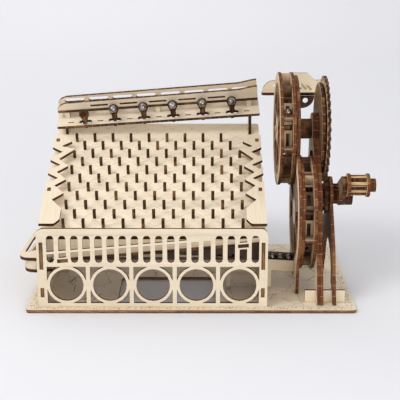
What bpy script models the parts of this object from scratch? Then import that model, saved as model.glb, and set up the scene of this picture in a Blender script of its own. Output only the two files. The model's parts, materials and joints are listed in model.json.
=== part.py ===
"""Hand cranked marble run, cut from 3 mm plywood and slotted together.

A sloping board of wooden pegs stands over a front panel of round windows. Marbles leave
a channel above the board, fall through the pegs into a trough behind the panel, turn
round a loop at the left and roll back to a double wheel lift at the right, which a
crank with a free turning knob drives through laser cut gears.

Every size below is in millimetres. The origin is at the middle of the base plate's
underside, with +X to the right, +Y to the back and +Z up. The front panel faces -Y.
"""
import bpy
import bmesh
from math import acos, asin, atan2, ceil, cos, degrees, pi, radians, sin, sqrt, tan
from mathutils import Matrix, Vector

MM = 0.001

# Sheet, fits and marbles
PLY = 3.0
FIT = 0.3
TAB = 10.0
MARBLE = 8.0
MARBLE_ROOM = 2.0
LANE = MARBLE + MARBLE_ROOM
AXLE = 6.0

# Base plate
BASE_LENGTH = 310.0
BASE_DEPTH = 200.0
BASE_CORNER = 4.0
BASE_WINDOW_LEFT = 73.15
BASE_WINDOW_RIGHT = 48.15
BASE_WINDOW_DEPTH = 80.0
BASE_WINDOW_FRONT = 1.2
BASE_WINDOW_CORNER = 6.0

# Cabinet under the board
CABINET_LEFT_ROOM = 11.05
LIFT_STRIP = 83.65
CABINET_INSET = 4.2
FRONT_SETBACK = 8.1
FRONT_HEIGHT = 77.0
FRONT_CORNER = 6.5
REAR_SETBACK = 13.0
SIDE_HORN = 76.0
SIDE_FOOT_PITCH = 62.0
FRONT_FOOT_INSETS = (15.65, 51.65)
REAR_FOOT_INSET = 23.65
REAR_TABS = ((30.0, 56.0), (90.0, 112.0))
REAR_WINDOW_Z = 65.0
REAR_WINDOW_HEIGHT = 96.0
REAR_WINDOW_TRIM = 4.0
SIDE_TAB_HIGH = 26.0
SIDE_TAB_HIGH_Z = 53.5
SIDE_TAB_LOW = 8.6
SIDE_TAB_LOW_Z = 17.3
SIDE_WINDOW_Y = (20.0, 52.0)
SIDE_WINDOW_Z = (30.0, 84.0, 96.0)
SIDE_WINDOW_CORNER = 6.0
TROUGH_PORT_TOP = 62.0
TRACK_PORT_ROOM = 1.0
TRACK_PORT_CORNER = 2.0

# Round windows and slots of the front panel
RING_SPACING = 40.0
RING_LEFT = 27.25
RING_RIGHT = 26.05
RING_BORE = 31.6
RING_WIDTH = 2.8
RING_Z = 25.0
RING_FILLET = 6.0
RING_NIP = 0.9
CELL_HEIGHT = 36.1
CELL_LENGTH = 36.6
SLOT_SPACING = 11.2
SLOT_EDGE = 12.28
SLOT_WIDTH = 7.0
SLOT_LOW = 46.9
SLOT_HIGH = 73.7
SLOT_BAR = 2.2
SLOT_BAR_RISE = 8.8

# Trough behind the panel
TROUGH_SLOPE = 5.0
TROUGH_Z = 56.2
TROUGH_LANE = 13.6
TROUGH_TAB = 9.5
TROUGH_END = 11.5
TROUGH_WALL_DROP = 22.0
TROUGH_WALL_SLOTS = 5
TROUGH_WALL_SLOT_EDGE = 35.65
TROUGH_WALL_SLOT_POST = 12.0
TROUGH_WALL_SLOT_WIDTH = 4.0
TROUGH_WALL_SLOT_LIFT = 5.2

# Board and its pegs
BOARD_SLOPE = 22.5
BOARD_Y = 3.0
BOARD_Z = 100.2
BOARD_LOW = 84.4
BOARD_HIGH = 104.0
BOARD_TRIM = 0.5
BOARD_CORNER = 2.0
PEG_ROWS = 11
PEG_EDGE = 22.375
PEG_PITCH_V = 14.2
PEG_LONG_ROW = 10
PEG_WIDTH = 4.0
PEG_HEIGHT = 9.6
PEG_UNDER_GUARD = 7.0
PEG_CROWN = 1.3
PEG_SINK = 2.0

# Zigzag guards over the sides of the board
GUARD_LIFT = 7.5
GUARD_LOW = 79.0
GUARD_HIGH = 68.0
GUARD_TOOTH_PITCH = 22.3
GUARD_TOOTH = 10.6
GUARD_VALLEY = 8.6
GUARD_TOP_VALLEY = 47.0
GUARD_NOTCH = 11.0
GUARD_POST = 9.0
GUARD_POST_V = (58.0, -26.0)
GUARD_TEETH = 4
GUARD_TOOTH_RISE = 10.2
GUARD_LAST_RISE = 17.5
GUARD_LAST_TRIM = 4.5
GUARD_TOE = 6.0
GUARD_TOE_RISE = 7.0
GUARD_TOE_END = 56.0
GUARD_TOP_RISE = 8.6
GUARD_TIP_ROUND = 0.8
GUARD_NECK = 2.0
GUARD_NOTCHES = 3
GUARD_NOTCH_START = 2.0
GUARD_NOTCH_DROP = 8.0
GUARD_NOTCH_LOW = 15.0
GUARD_NOTCH_END = 12.0
GUARD_NOTCH_LIP = 3.5

# Turn round loop at the left
TURN_REACH = 18.5
TURN_LID_Z = 49.1
TURN_LID_BACK = 7.0
TURN_FLOOR_TOP = 39.0
TURN_BAND = 3.2
TURN_INSET = 4.4
TURN_WALL = 2.4
TURN_LANE = 5.6
TURN_CORNER = 10.0
TURN_TONGUE = 9.0

# Return track to the lift
TRACK_Y = -28.5
RAIL_HEIGHT = 7.5
RAIL_SINK = 3.5
FRONT_RAIL_TRIM = 3.0
TRACK_LEG_SHIFT = (5.05, -35.35)
TRACK_LEG_WIDTH = 4.0
ARCH_DROP = 11.0
ARCH_ROOM = 2.0
ARCH_SPRING = 14.0
ARCH_TOE = 5.0
TRACK_GAP = 0.6
QUEUE_COUNT = 3

# Tray and channel above the board
TRAY_ROLL = 3.9
TRAY_Y = 73.9
TRAY_Z = 148.9
TRAY_TRIM = 0.3
TRAY_DEPTH = 34.0
TRAY_DASH_LONG = 6.0
TRAY_DASH_WIDTH = 1.6
TRAY_DASH_SHIFT = 0.9
CHANNEL_LIFT = 7.5
CHANNEL_FRONT = 15.0
CHANNEL_WALL_LEFT = 11.0
CHANNEL_WALL_RIGHT = 16.5
CHANNEL_RUNUP = 22.0
CHANNEL_TRIM = 1.0
CHANNEL_SHOULDER = 2.5
CHANNEL_SLOTS = 8
CHANNEL_SLOT_LEFT = 19.0
CHANNEL_SLOT_RIGHT = 17.0
CHANNEL_SLOT_POST = 3.6
FRONT_SLIT_LENGTH = 19.0
FLOOR_SLIT_FRONT = 2.5
FLOOR_SLIT = 5.4
CHANNEL_SLOT_LIFT = 3.6
FRONT_SLIT = 2.2
REAR_SLIT = 5.0
COLUMN_COUNT = 3
COLUMN_LENGTH = 5.0
COLUMN_EDGE = 10.5
TRAY_POST_DEPTH = 14.0
TRAY_POST_INSET = 6.2
TRAY_POST_SHIFT = 13.0
TRAY_POST_TAB = 8.0

# Tipping cups
CUP_COUNT = 6
CUP_LEFT = 30.1
CUP_RIGHT = 28.9
CUP_PIVOT_V = 7.4
CUP_PIVOT_DROP = 5.4
CUP_TILT = 18.0
CUP_STEM = 3.6
CUP_BOSS = 2.9
CUP_ROD = 2.4
CUP_HOLE_LONG = 14.0
CUP_BULB = 10.6
CUP_NECK = 5.5
CUP_TOP = 19.3
CUP_MARBLE_H = 15.6

# Lift: the guide plate between the wheels, and the spaces to its left and right
LIFT_ROOM = 13.35
UPPER_WHEEL_GAP = 9.0
UPPER_WHEEL_CLEAR = 1.2
LOWER_WHEEL_GAP = 8.5
GEAR_SPACE = 1.6
GEAR_CLEAR = 1.1

# Lift: wheels and gears
WHEEL_RADIUS = 56.0
MARBLE_CIRCLE = 47.0
POCKETS = 10
POCKET_ANGLE = 149.0
SLAT_LENGTH = 22.0
SLAT_TAB = 8.0
PADDLE_REACH = 54.6
PADDLE_TIP = 0.5
PADDLE_TAB = 4.0
SPOKES = 6
SPOKE_WIDTH = 8.0
WHEEL_HUB = 17.0
WHEEL_RIM = 19.3
UPPER_AXIS_Y = 11.0
UPPER_AXIS_Z = 153.0
UPPER_TEETH = 36
PINION_TEETH = 12
DRIVE_MODULE = 2.8
CRANK_BEARING = 239.3
SMALL_TEETH = 10
LOWER_TEETH = 14
SMALL_MODULE = 1.6
SMALL_HUB = 5.2
LOWER_BEARING = 276.0
PRESSURE_ANGLE = 20.0
ADDENDUM = 0.75
DEDENDUM = 1.1
BACKLASH = 0.16
FLANK_POINTS = 3
GEAR_DISC = 46.0
GEAR_WINDOW_OUTER = 34.0
GEAR_WINDOW_INNER = 15.0
DRUM_RADIUS = 10.0

# Lift: plates
FOOT_SETBACK = 12.0
FOOT_BACK = 52.0
FOOT_WIDTH = 15.0
OUTER_FOOT_BACK = 31.0
FRAME_CORNER = 5.5
UPPER_BOSS = 16.0
CRANK_BOSS = 17.0
GUIDE_UPPER = 53.0
GUIDE_LOWER = 58.0
FOOT_BAR_HEIGHT = 11.6
FOOT_BAR_LEFT_END = 14.0
FOOT_BAR_RIGHT_END = 10.5
FOOT_BAR_INSET = 10.6

# Chute from the upper wheel to the channel
CHUTE_LEFT_ROOM = 2.2
CHUTE_RIGHT_REACH = 3.3
CHUTE_FRONT = 62.0
CHUTE_BACK = 97.0
CHUTE_FALL = 9.0
CHUTE_Z = 179.0
CHUTE_WALL = 12.5
CHUTE_WALL_Y = 89.0
CHUTE_GABLE = 20.0
CHUTE_GABLE_Y = 78.0
CHUTE_BRACKET = 12.8
CHUTE_BRACKET_Y = 70.0

# Crank and knob
CRANK_THROW = 30.0
CRANK_ANGLE = 149.2
CRANK_ARM_PLY = 4.5
CRANK_ARM_BOSS = 11.3
CRANK_ARM_END = 8.5
CRANK_STACK = 9.0
CRANK_ARM_ROOM = 6.2
KNOB_PIN = 5.0
KNOB_FLANGE = 11.3
KNOB_GRIP = 15.3
KNOB_SLATS = 8
KNOB_SLAT_REACH = 9.8
KNOB_CORE = 5.0
KNOB_CAP = 6.5
KNOB_CAP_LENGTH = 6.0

# Sizes that follow from the ones above
CABINET_LENGTH = BASE_LENGTH - CABINET_LEFT_ROOM - LIFT_STRIP
PANEL_LEFT = CABINET_LEFT_ROOM - BASE_LENGTH / 2
PANEL_RIGHT = BASE_LENGTH / 2 - LIFT_STRIP
CABINET_X = (PANEL_LEFT + PANEL_RIGHT) / 2
RING_SPAN = CABINET_LENGTH - RING_LEFT - RING_RIGHT
RING_COUNT = int(RING_SPAN / RING_SPACING) + 1
RING_PITCH = RING_SPAN / (RING_COUNT - 1)
RING_X = (PANEL_LEFT + RING_LEFT + PANEL_RIGHT - RING_RIGHT) / 2
SLOT_SPAN = CABINET_LENGTH - 2 * SLOT_EDGE
SLOT_COUNT = int(SLOT_SPAN / SLOT_SPACING) + 1
SLOT_PITCH = SLOT_SPAN / (SLOT_COUNT - 1)
PEG_PITCH_X = (CABINET_LENGTH - 2 * PEG_EDGE) / (PEG_LONG_ROW - 1)
TRAY_LENGTH = CABINET_LENGTH - TRAY_TRIM
CUP_FIRST = CUP_LEFT - TRAY_LENGTH / 2
CUP_PITCH = (TRAY_LENGTH - CUP_LEFT - CUP_RIGHT) / (CUP_COUNT - 1)
COLUMN_PITCH = (TRAY_LENGTH - 2 * COLUMN_EDGE) / (COLUMN_COUNT - 1)
CHANNEL_SLOT_PITCH = (TRAY_LENGTH - CHANNEL_SLOT_LEFT - CHANNEL_SLOT_RIGHT) / (CHANNEL_SLOTS - 1)
SIDE_LEFT = PANEL_LEFT + CABINET_INSET
SIDE_RIGHT = PANEL_RIGHT - CABINET_INSET
FRONT_Y = -BASE_DEPTH / 2 + FRONT_SETBACK + PLY / 2
REAR_Y = BASE_DEPTH / 2 - REAR_SETBACK - PLY / 2
FLOOR_Z = PLY + FIT
FRONT_TOP = PLY + FRONT_HEIGHT
SIDE_FRONT = FRONT_Y + PLY / 2 + FIT
SIDE_BACK = REAR_Y - PLY / 2 - FIT
TROUGH_WALL_Y = FRONT_Y + PLY / 2 + TROUGH_LANE + 2 * FIT + PLY / 2
DRIVE_CENTRES = DRIVE_MODULE * (UPPER_TEETH + PINION_TEETH) / 2
SMALL_CENTRES = SMALL_MODULE * (SMALL_TEETH + LOWER_TEETH) / 2
UPPER_WHEEL_X = PANEL_RIGHT + LIFT_ROOM
UPPER_RIGHT_X = UPPER_WHEEL_X + PLY + UPPER_WHEEL_GAP
INNER_PLATE_X = UPPER_RIGHT_X + PLY + UPPER_WHEEL_CLEAR + PLY / 2
LOWER_WHEEL_X = INNER_PLATE_X + PLY / 2 + FIT
LOWER_RIGHT_X = LOWER_WHEEL_X + PLY + LOWER_WHEEL_GAP
CENTRE_PLATE_X = LOWER_RIGHT_X + PLY + FIT + PLY
GEARBOX_X = CENTRE_PLATE_X + PLY + FIT
GEAR_X = GEARBOX_X + PLY * 1.5 + GEAR_SPACE
OUTER_PLATE_X = GEAR_X + PLY / 2 + GEAR_CLEAR + PLY / 2
FOOT_FRONT = FOOT_SETBACK - BASE_DEPTH / 2
FOOT_BAR_Y = FOOT_FRONT + FOOT_BAR_INSET
FOOT_BAR_LEFT = CENTRE_PLATE_X - FOOT_BAR_LEFT_END
FOOT_BAR_RIGHT = OUTER_PLATE_X + FOOT_BAR_RIGHT_END
CHUTE_LEFT = PANEL_RIGHT + CHUTE_LEFT_ROOM
CHUTE_RIGHT = OUTER_PLATE_X + CHUTE_RIGHT_REACH
TRACK_LEG_X = [PANEL_RIGHT + shift for shift in TRACK_LEG_SHIFT]
TRAY_POST_Y = TRAY_Y + TRAY_POST_SHIFT
SLAT_RADIUS = MARBLE_CIRCLE - MARBLE / 2 - FIT - PLY / 2
PADDLE_OFFSET = MARBLE / 2 + PLY / 2 + 3 * FIT

WOOD_COLOUR = (0.74, 0.58, 0.38, 1.0)
EDGE_COLOUR = (0.16, 0.06, 0.03, 1.0)
DOWEL_COLOUR = (0.55, 0.36, 0.2, 1.0)
STEEL_COLOUR = (0.75, 0.76, 0.78, 1.0)


def clear_scene():
    """Remove whatever the file opened with."""
    for obj in list(bpy.data.objects):
        bpy.data.objects.remove(obj, do_unlink=True)


def finish(name, colour, roughness, metallic):
    """One Principled material."""
    material = bpy.data.materials.new(name)
    material.use_nodes = True
    shader = material.node_tree.nodes["Principled BSDF"]
    shader.inputs["Base Color"].default_value = colour
    shader.inputs["Roughness"].default_value = roughness
    shader.inputs["Metallic"].default_value = metallic
    return material


# Outlines are lists of points in a plate's own plane, in millimetres
def arc(u, v, radius, start, end, step=15.0):
    """Points on an arc between two angles in degrees, both ends included."""
    count = max(1, ceil(abs(end - start) / step - 1e-6))
    angles = [radians(start + (end - start) * i / count) for i in range(count + 1)]
    return [(u + radius * cos(a), v + radius * sin(a)) for a in angles]


def disc(u, v, radius, sides=24):
    """A closed circle."""
    return arc(u, v, radius, 0.0, 360.0, 360.0 / sides)[:-1]


def rounded(corners, step=30.0):
    """A closed outline from (u, v) or (u, v, radius) corners."""
    points = []
    for index, corner in enumerate(corners):
        here = Vector(corner[:2])
        radius = corner[2] if len(corner) > 2 else 0.0
        if radius <= 0.0:
            points.append(tuple(here))
            continue
        back = (Vector(corners[index - 1][:2]) - here).normalized()
        ahead = (Vector(corners[(index + 1) % len(corners)][:2]) - here).normalized()
        half = acos(max(-1.0, min(1.0, back.dot(ahead)))) / 2
        centre = here + (back + ahead).normalized() * radius / sin(half)
        first = here + back * radius / tan(half) - centre
        last = here + ahead * radius / tan(half) - centre
        start = degrees(atan2(first.y, first.x))
        sweep = (degrees(atan2(last.y, last.x)) - start + 180.0) % 360.0 - 180.0
        points += arc(centre.x, centre.y, radius, start, start + sweep, step)
    return points


def rect(u0, u1, v0, v1, radius=0.0):
    """A rectangle, with round corners if a radius is given."""
    return rounded([(u0, v0, radius), (u1, v0, radius), (u1, v1, radius), (u0, v1, radius)])


def stadium(u, v, length, width, angle=0.0, step=45.0):
    """A slot with round ends, its length along an angle in degrees."""
    reach = (length - width) / 2
    du = reach * cos(radians(angle))
    dv = reach * sin(radians(angle))
    right = arc(u + du, v + dv, width / 2, angle - 90.0, angle + 90.0, step)
    return right + arc(u - du, v - dv, width / 2, angle + 90.0, angle + 270.0, step)


def turned_rect(u, v, length, width, angle):
    """A rectangle turned in its plane."""
    c = cos(radians(angle))
    s = sin(radians(angle))
    half = [(-length / 2, -width / 2), (length / 2, -width / 2)]
    half += [(length / 2, width / 2), (-length / 2, width / 2)]
    return [(u + c * a - s * b, v + s * a + c * b) for a, b in half]


def tabbed_edge(start, end, along, depth, width=TAB):
    """Points of a straight edge from start to end, with square tabs to its right."""
    first = Vector(start)
    course = (Vector(end) - first).normalized()
    out = Vector((course.y, -course.x)) * depth
    points = [tuple(first)]
    for place in along:
        near = first + course * (place - width / 2)
        far = first + course * (place + width / 2)
        points += [tuple(near), tuple(near + out), tuple(far + out), tuple(far)]
    return points


def gear_outline(teeth, module, phase):
    """An involute gear, with a tooth centred on the phase angle in degrees."""
    pitch = module * teeth / 2
    base = pitch * cos(radians(PRESSURE_ANGLE))
    root = pitch - DEDENDUM * module
    tip = pitch + ADDENDUM * module
    half = pi / (2 * teeth) - BACKLASH * module / (2 * pitch)
    spread = tan(radians(PRESSURE_ANGLE)) - radians(PRESSURE_ANGLE)
    low = max(base, root)
    flank = []
    for step in range(FLANK_POINTS):
        radius = low + (tip - low) * step / (FLANK_POINTS - 1)
        roll = acos(min(1.0, base / radius))
        flank.append((radius, half + spread - (tan(roll) - roll)))
    if base - root > 0.2:
        flank.insert(0, (root, flank[0][1]))
    points = []
    for tooth in range(teeth):
        middle = radians(phase) + 2 * pi * tooth / teeth
        points += [(r * cos(middle - a), r * sin(middle - a)) for r, a in flank]
        points += [(r * cos(middle + a), r * sin(middle + a)) for r, a in reversed(flank)]
    return points


# Planes that plates lie in: the plate's own u and v axes, and its origin
def plane(origin, u_axis, v_axis):
    """The matrix that puts a flat outline in space, in millimetres."""
    u = Vector(u_axis).normalized()
    v = Vector(v_axis).normalized()
    turn = Matrix((u, v, u.cross(v))).transposed().to_4x4()
    return Matrix.Translation(Vector(origin)) @ turn


RIGHT = Vector((1.0, 0.0, 0.0))
BACK = Vector((0.0, 1.0, 0.0))
UP = Vector((0.0, 0.0, 1.0))
BOARD_V = Vector((0.0, cos(radians(BOARD_SLOPE)), sin(radians(BOARD_SLOPE))))
BOARD_N = RIGHT.cross(BOARD_V)
BOARD_ORIGIN = Vector((CABINET_X, BOARD_Y, BOARD_Z))
ROLL = Matrix.Rotation(-radians(TRAY_ROLL), 3, "Y")
TRAY_U = ROLL @ RIGHT
TRAY_V = ROLL @ BOARD_V
TRAY_N = ROLL @ BOARD_N
TRAY_ORIGIN = Vector((CABINET_X, TRAY_Y, TRAY_Z))


def lying(z):
    """A level plate whose middle plane is at height z."""
    return plane((0.0, 0.0, z), RIGHT, BACK)


def facing_front(y):
    """An upright plate across the run, its u along X and its v up."""
    return plane((0.0, y, 0.0), RIGHT, UP)


def facing_side(x, y=0.0, z=0.0):
    """An upright plate along Y, its u along Y and its v up."""
    return plane((x, y, z), BACK, UP)


def on_board(height):
    """A plate parallel to the board, its middle at a height over the top face."""
    return plane(BOARD_ORIGIN + BOARD_N * height, RIGHT, BOARD_V)


def tray_point(u, v, h):
    """A place in the tray's own axes, h over its top face."""
    return TRAY_ORIGIN + TRAY_U * u + TRAY_V * v + TRAY_N * h


def on_tray(height):
    """A plate parallel to the tray."""
    return plane(tray_point(0.0, 0.0, height), TRAY_U, TRAY_V)


def across_tray(v):
    """A wall along the tray, its u along the tray and its v square to it."""
    return plane(tray_point(0.0, v, 0.0), TRAY_U, TRAY_N)


def polar(centre, radius, angle):
    """A point (y, z) round a centre, its angle from +Y towards +Z in degrees."""
    return (centre[0] + radius * cos(radians(angle)), centre[1] + radius * sin(radians(angle)))


UPPER_AXIS = (UPPER_AXIS_Y, UPPER_AXIS_Z)
CRANK_AXIS = polar(UPPER_AXIS, DRIVE_CENTRES, CRANK_BEARING)
LOWER_AXIS = polar(CRANK_AXIS, SMALL_CENTRES, LOWER_BEARING)
KNOB_AXIS = polar(CRANK_AXIS, CRANK_THROW, CRANK_ANGLE)


def add_object(name, data, matrix, collection):
    """Put a mesh or curve in the scene with a placement in millimetres."""
    obj = bpy.data.objects.new(name, data)
    turn = matrix.to_3x3().to_4x4()
    obj.matrix_world = Matrix.Translation(matrix.translation * MM) @ turn
    collection.objects.link(obj)
    return obj


def flat_curve(name, loops, thickness):
    """A flat outline with its holes, thickened both ways."""
    data = bpy.data.curves.new(name, "CURVE")
    data.dimensions = "2D"
    data.fill_mode = "BOTH"
    data.extrude = thickness * MM / 2
    for loop in loops:
        spline = data.splines.new("POLY")
        spline.points.add(len(loop) - 1)
        for point, (u, v) in zip(spline.points, loop):
            point.co = (u * MM, v * MM, 0.0, 1.0)
        spline.use_cyclic_u = True
    return data


def plate(name, loops, matrix, material, thickness=PLY):
    """One flat piece: its outline first, then its holes."""
    data = flat_curve(name, loops, thickness)
    data.materials.append(material)
    return add_object(name, data, matrix, PARTS)


def plate_mesh(loops, thickness=PLY):
    """The closed mesh of a flat piece, for a node of several solids."""
    data = flat_curve("blank", loops, thickness)
    obj = bpy.data.objects.new("blank", data)
    CUTTERS.objects.link(obj)
    evaluated = obj.evaluated_get(bpy.context.evaluated_depsgraph_get())
    mesh = bpy.data.meshes.new_from_object(evaluated)
    bpy.data.objects.remove(obj, do_unlink=True)
    bm = bmesh.new()
    bm.from_mesh(mesh)
    bmesh.ops.remove_doubles(bm, verts=bm.verts, dist=0.00001)
    bm.to_mesh(mesh)
    bm.free()
    return mesh


def cylinder_mesh(radius, length, bore=0.0, sides=20):
    """A round bar, or a tube if it has a bore, along its own z axis."""
    if bore > 0.0:
        return plate_mesh([disc(0, 0, radius, sides), disc(0, 0, bore, sides)], length)
    mesh = bpy.data.meshes.new("bar")
    bm = bmesh.new()
    bmesh.ops.create_cone(
        bm, cap_ends=True, segments=sides, radius1=radius * MM, radius2=radius * MM,
        depth=length * MM)
    bm.to_mesh(mesh)
    bm.free()
    return mesh


def ball_mesh():
    """One marble."""
    mesh = bpy.data.meshes.new("ball")
    bm = bmesh.new()
    bmesh.ops.create_uvsphere(bm, u_segments=10, v_segments=7, radius=MARBLE * MM / 2)
    bm.to_mesh(mesh)
    bm.free()
    return mesh


def gather(name, pieces, origin, material):
    """One node of several separate solids, its origin at a chosen point."""
    home = Matrix.Translation(-Vector(origin) * MM)
    bm = bmesh.new()
    for mesh, matrix in pieces:
        part = mesh.copy()
        turn = matrix.to_3x3().to_4x4()
        part.transform(home @ Matrix.Translation(matrix.translation * MM) @ turn)
        bm.from_mesh(part)
        bpy.data.meshes.remove(part)
    mesh = bpy.data.meshes.new(name)
    bm.to_mesh(mesh)
    bm.free()
    mesh.materials.clear()
    mesh.materials.append(material)
    return add_object(name, mesh, Matrix.Translation(Vector(origin)), PARTS)


def fused(name, pieces, origin, material):
    """One glued piece: the first mesh, joined by a Boolean union with the others."""
    obj = gather(name, pieces[:1], origin, material)
    blank = gather(name + "_added", pieces[1:], origin, material)
    PARTS.objects.unlink(blank)
    CUTTERS.objects.link(blank)
    blank.hide_render = True
    blank.display_type = "WIRE"
    union = obj.modifiers.new("glued", "BOOLEAN")
    union.operation = "UNION"
    union.solver = "EXACT"
    union.use_self = True
    union.object = blank
    return obj


def along_x(x, axis):
    """A placement whose z axis runs along X, through a point (y, z)."""
    return facing_side(x, axis[0], axis[1])


def marble(name, centre, origin):
    """One steel ball, its origin on the joint of what carries it."""
    obj = gather(name, [(ball_mesh(), Matrix.Translation(Vector(centre)))], origin, STEEL)
    obj.data.shade_smooth()
    return obj


# Heights that several pieces share
def board_top(y):
    """Height of the board's top face over a place y."""
    return BOARD_Z + (y - BOARD_Y) * tan(radians(BOARD_SLOPE))


def board_underside(y):
    """Height of the board's underside over a place y."""
    return board_top(y) - PLY / cos(radians(BOARD_SLOPE))


def trough_z(x):
    """Height of the middle of the trough's floor."""
    return TROUGH_Z + (x - RING_X) * tan(radians(TROUGH_SLOPE))


QUEUE_Z = LOWER_AXIS[1] - sqrt(MARBLE_CIRCLE ** 2 - (TRACK_Y - LOWER_AXIS[0]) ** 2)
TRACK_END = INNER_PLATE_X - PLY / 2 - FIT
TRACK_END_TOP = QUEUE_Z - MARBLE / 2
TRACK_START = SIDE_LEFT - PLY / 2
TRACK_FALL = atan2(TURN_FLOOR_TOP - TRACK_END_TOP, TRACK_END - TRACK_START)


def track_top(x):
    """Height of the return track's floor."""
    return TRACK_END_TOP + (TRACK_END - x) * tan(TRACK_FALL)


# Tabs that stand in the base plate, as (middle, width) along the plate
FRONT_FEET = [PANEL_LEFT + inset for inset in FRONT_FOOT_INSETS]
FRONT_FEET += [PANEL_RIGHT - inset for inset in reversed(FRONT_FOOT_INSETS)]
REAR_FEET = [PANEL_LEFT + REAR_FOOT_INSET, CABINET_X, PANEL_RIGHT - REAR_FOOT_INSET]
SIDE_FEET = [-SIDE_FOOT_PITCH, 0.0, SIDE_FOOT_PITCH]
INNER_FEET = [(-51.0, 8.0), (8.0, 8.0)]
CENTRE_FEET = [(FOOT_FRONT + 4.0, 5.0), (FOOT_BACK - FOOT_WIDTH / 2, 8.0)]
OUTER_FEET = [(FOOT_FRONT + 4.0, 5.0), (OUTER_FOOT_BACK - FOOT_WIDTH / 2, 8.0)]
TAB_DROP = PLY + FIT - 0.2


def base_plate():
    """The floor of the whole toy, with a window and a slot for every foot."""
    half_x = BASE_LENGTH / 2
    half_y = BASE_DEPTH / 2
    window_front = FRONT_Y + PLY / 2 + FIT
    loops = [rect(-half_x, half_x, -half_y, half_y, BASE_CORNER)]
    loops.append(rect(
        PANEL_LEFT + BASE_WINDOW_LEFT, PANEL_RIGHT - BASE_WINDOW_RIGHT,
        window_front + BASE_WINDOW_FRONT, window_front + BASE_WINDOW_DEPTH, BASE_WINDOW_CORNER))
    slots = [(x, FRONT_Y, TAB, PLY) for x in FRONT_FEET]
    slots += [(x, REAR_Y, TAB, PLY) for x in REAR_FEET]
    for side in (SIDE_LEFT, SIDE_RIGHT):
        slots += [(side, y, PLY, TAB) for y in SIDE_FEET]
    slots += [(INNER_PLATE_X, y, PLY, width) for y, width in INNER_FEET]
    slots += [(CENTRE_PLATE_X, y, 2 * PLY, width) for y, width in CENTRE_FEET]
    slots += [(OUTER_PLATE_X, y, PLY, width) for y, width in OUTER_FEET]
    slots += [(x, TRACK_Y - LANE / 2 - PLY / 2, TRACK_LEG_WIDTH, PLY) for x in TRACK_LEG_X]
    for x, y, width, depth in slots:
        grow_x = width / 2 + FIT
        grow_y = depth / 2 + FIT
        loops.append(rect(x - grow_x, x + grow_x, y - grow_y, y + grow_y))
    return plate("base_plate", loops, lying(PLY / 2), WOOD)


def front_panel():
    """The arcade of round windows under a comb of slots."""
    outline = tabbed_edge(
        (PANEL_LEFT, FLOOR_Z), (PANEL_RIGHT, FLOOR_Z),
        [x - PANEL_LEFT for x in FRONT_FEET], TAB_DROP)
    outline.append((PANEL_RIGHT, FLOOR_Z))
    outline += arc(PANEL_RIGHT - FRONT_CORNER, FRONT_TOP - FRONT_CORNER, FRONT_CORNER, 0, 90, 22.5)
    outline += arc(PANEL_LEFT + FRONT_CORNER, FRONT_TOP - FRONT_CORNER, FRONT_CORNER, 90, 180, 22.5)
    loops = [outline]
    ring_reach = RING_BORE / 2 + RING_WIDTH
    cell_low = RING_Z - CELL_HEIGHT / 2
    cell_high = RING_Z + CELL_HEIGHT / 2
    for index in range(RING_COUNT):
        x = RING_X + (index - (RING_COUNT - 1) / 2) * RING_PITCH
        loops.append(disc(x, RING_Z, RING_BORE / 2, 24))
        loops += ring_corners(x, ring_reach, cell_low, cell_high)
    for index in range(SLOT_COUNT):
        x = RING_X + (index - (SLOT_COUNT - 1) / 2) * SLOT_PITCH
        tabbed = index in (1, SLOT_COUNT - 2)
        loops += split_slot(x, tabbed)
        if tabbed:
            room = 2 * FIT
            loops.append(turned_rect(x, trough_z(x), TROUGH_TAB + room, PLY + room, TROUGH_SLOPE))
    for side in (SIDE_LEFT, SIDE_RIGHT):
        for middle, height in ((SIDE_TAB_HIGH_Z, SIDE_TAB_HIGH), (SIDE_TAB_LOW_Z, SIDE_TAB_LOW)):
            low = middle - height / 2 - FIT
            loops.append(rect(side - PLY / 2 - FIT, side + PLY / 2 + FIT, low, low + height + 2 * FIT))
    return plate("front_panel", loops, facing_front(FRONT_Y), WOOD)


def ring_corners(x, reach, low, high):
    """The four openings between a ring and its square cell."""
    half = CELL_LENGTH / 2
    loops = []
    for way_x in (-1, 1):
        for edge in (low, high):
            rise = abs(edge - RING_Z)
            way_z = 1 if edge > RING_Z else -1
            first = degrees(acos(half / reach)) + RING_FILLET
            last = degrees(asin(rise / reach)) - RING_FILLET
            curve = [(half, rise), (half, reach * sin(radians(first)) - RING_NIP)]
            curve += arc(0.0, 0.0, reach, first, last, 20.0)
            curve.append((reach * cos(radians(last)) - RING_NIP, rise))
            loops.append([(x + way_x * u, RING_Z + way_z * v) for u, v in curve])
    return loops


def split_slot(x, tabbed):
    """An upright slot, crossed by a slanting bar of the panel and by a floor tab."""
    half = SLOT_WIDTH / 2
    rise = tan(radians(TROUGH_SLOPE)) * half
    bands = []
    if tabbed:
        room = PLY / 2 + FIT + 1.4
        bands.append((trough_z(x) - room, trough_z(x) + room))
    bar = trough_z(x) + SLOT_BAR_RISE
    if bar < SLOT_HIGH - half:
        bands.append((bar - SLOT_BAR / 2, bar + SLOT_BAR / 2))
    lows = [None] + [band[1] for band in bands]
    highs = [band[0] for band in bands] + [None]
    loops = []
    for low, high in zip(lows, highs):
        bottom = SLOT_LOW + half if low is None else low + rise
        top = SLOT_HIGH - half if high is None else high - rise
        if top - bottom < 0.8:
            continue
        if low is None:
            loop = arc(x, bottom, half, 180, 360, 45)
        else:
            loop = [(x - half, low - rise), (x + half, low + rise)]
        if high is None:
            loop += arc(x, top, half, 0, 180, 45)
        else:
            loop += [(x + half, high + rise), (x - half, high - rise)]
        loops.append(loop)
    return loops


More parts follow.
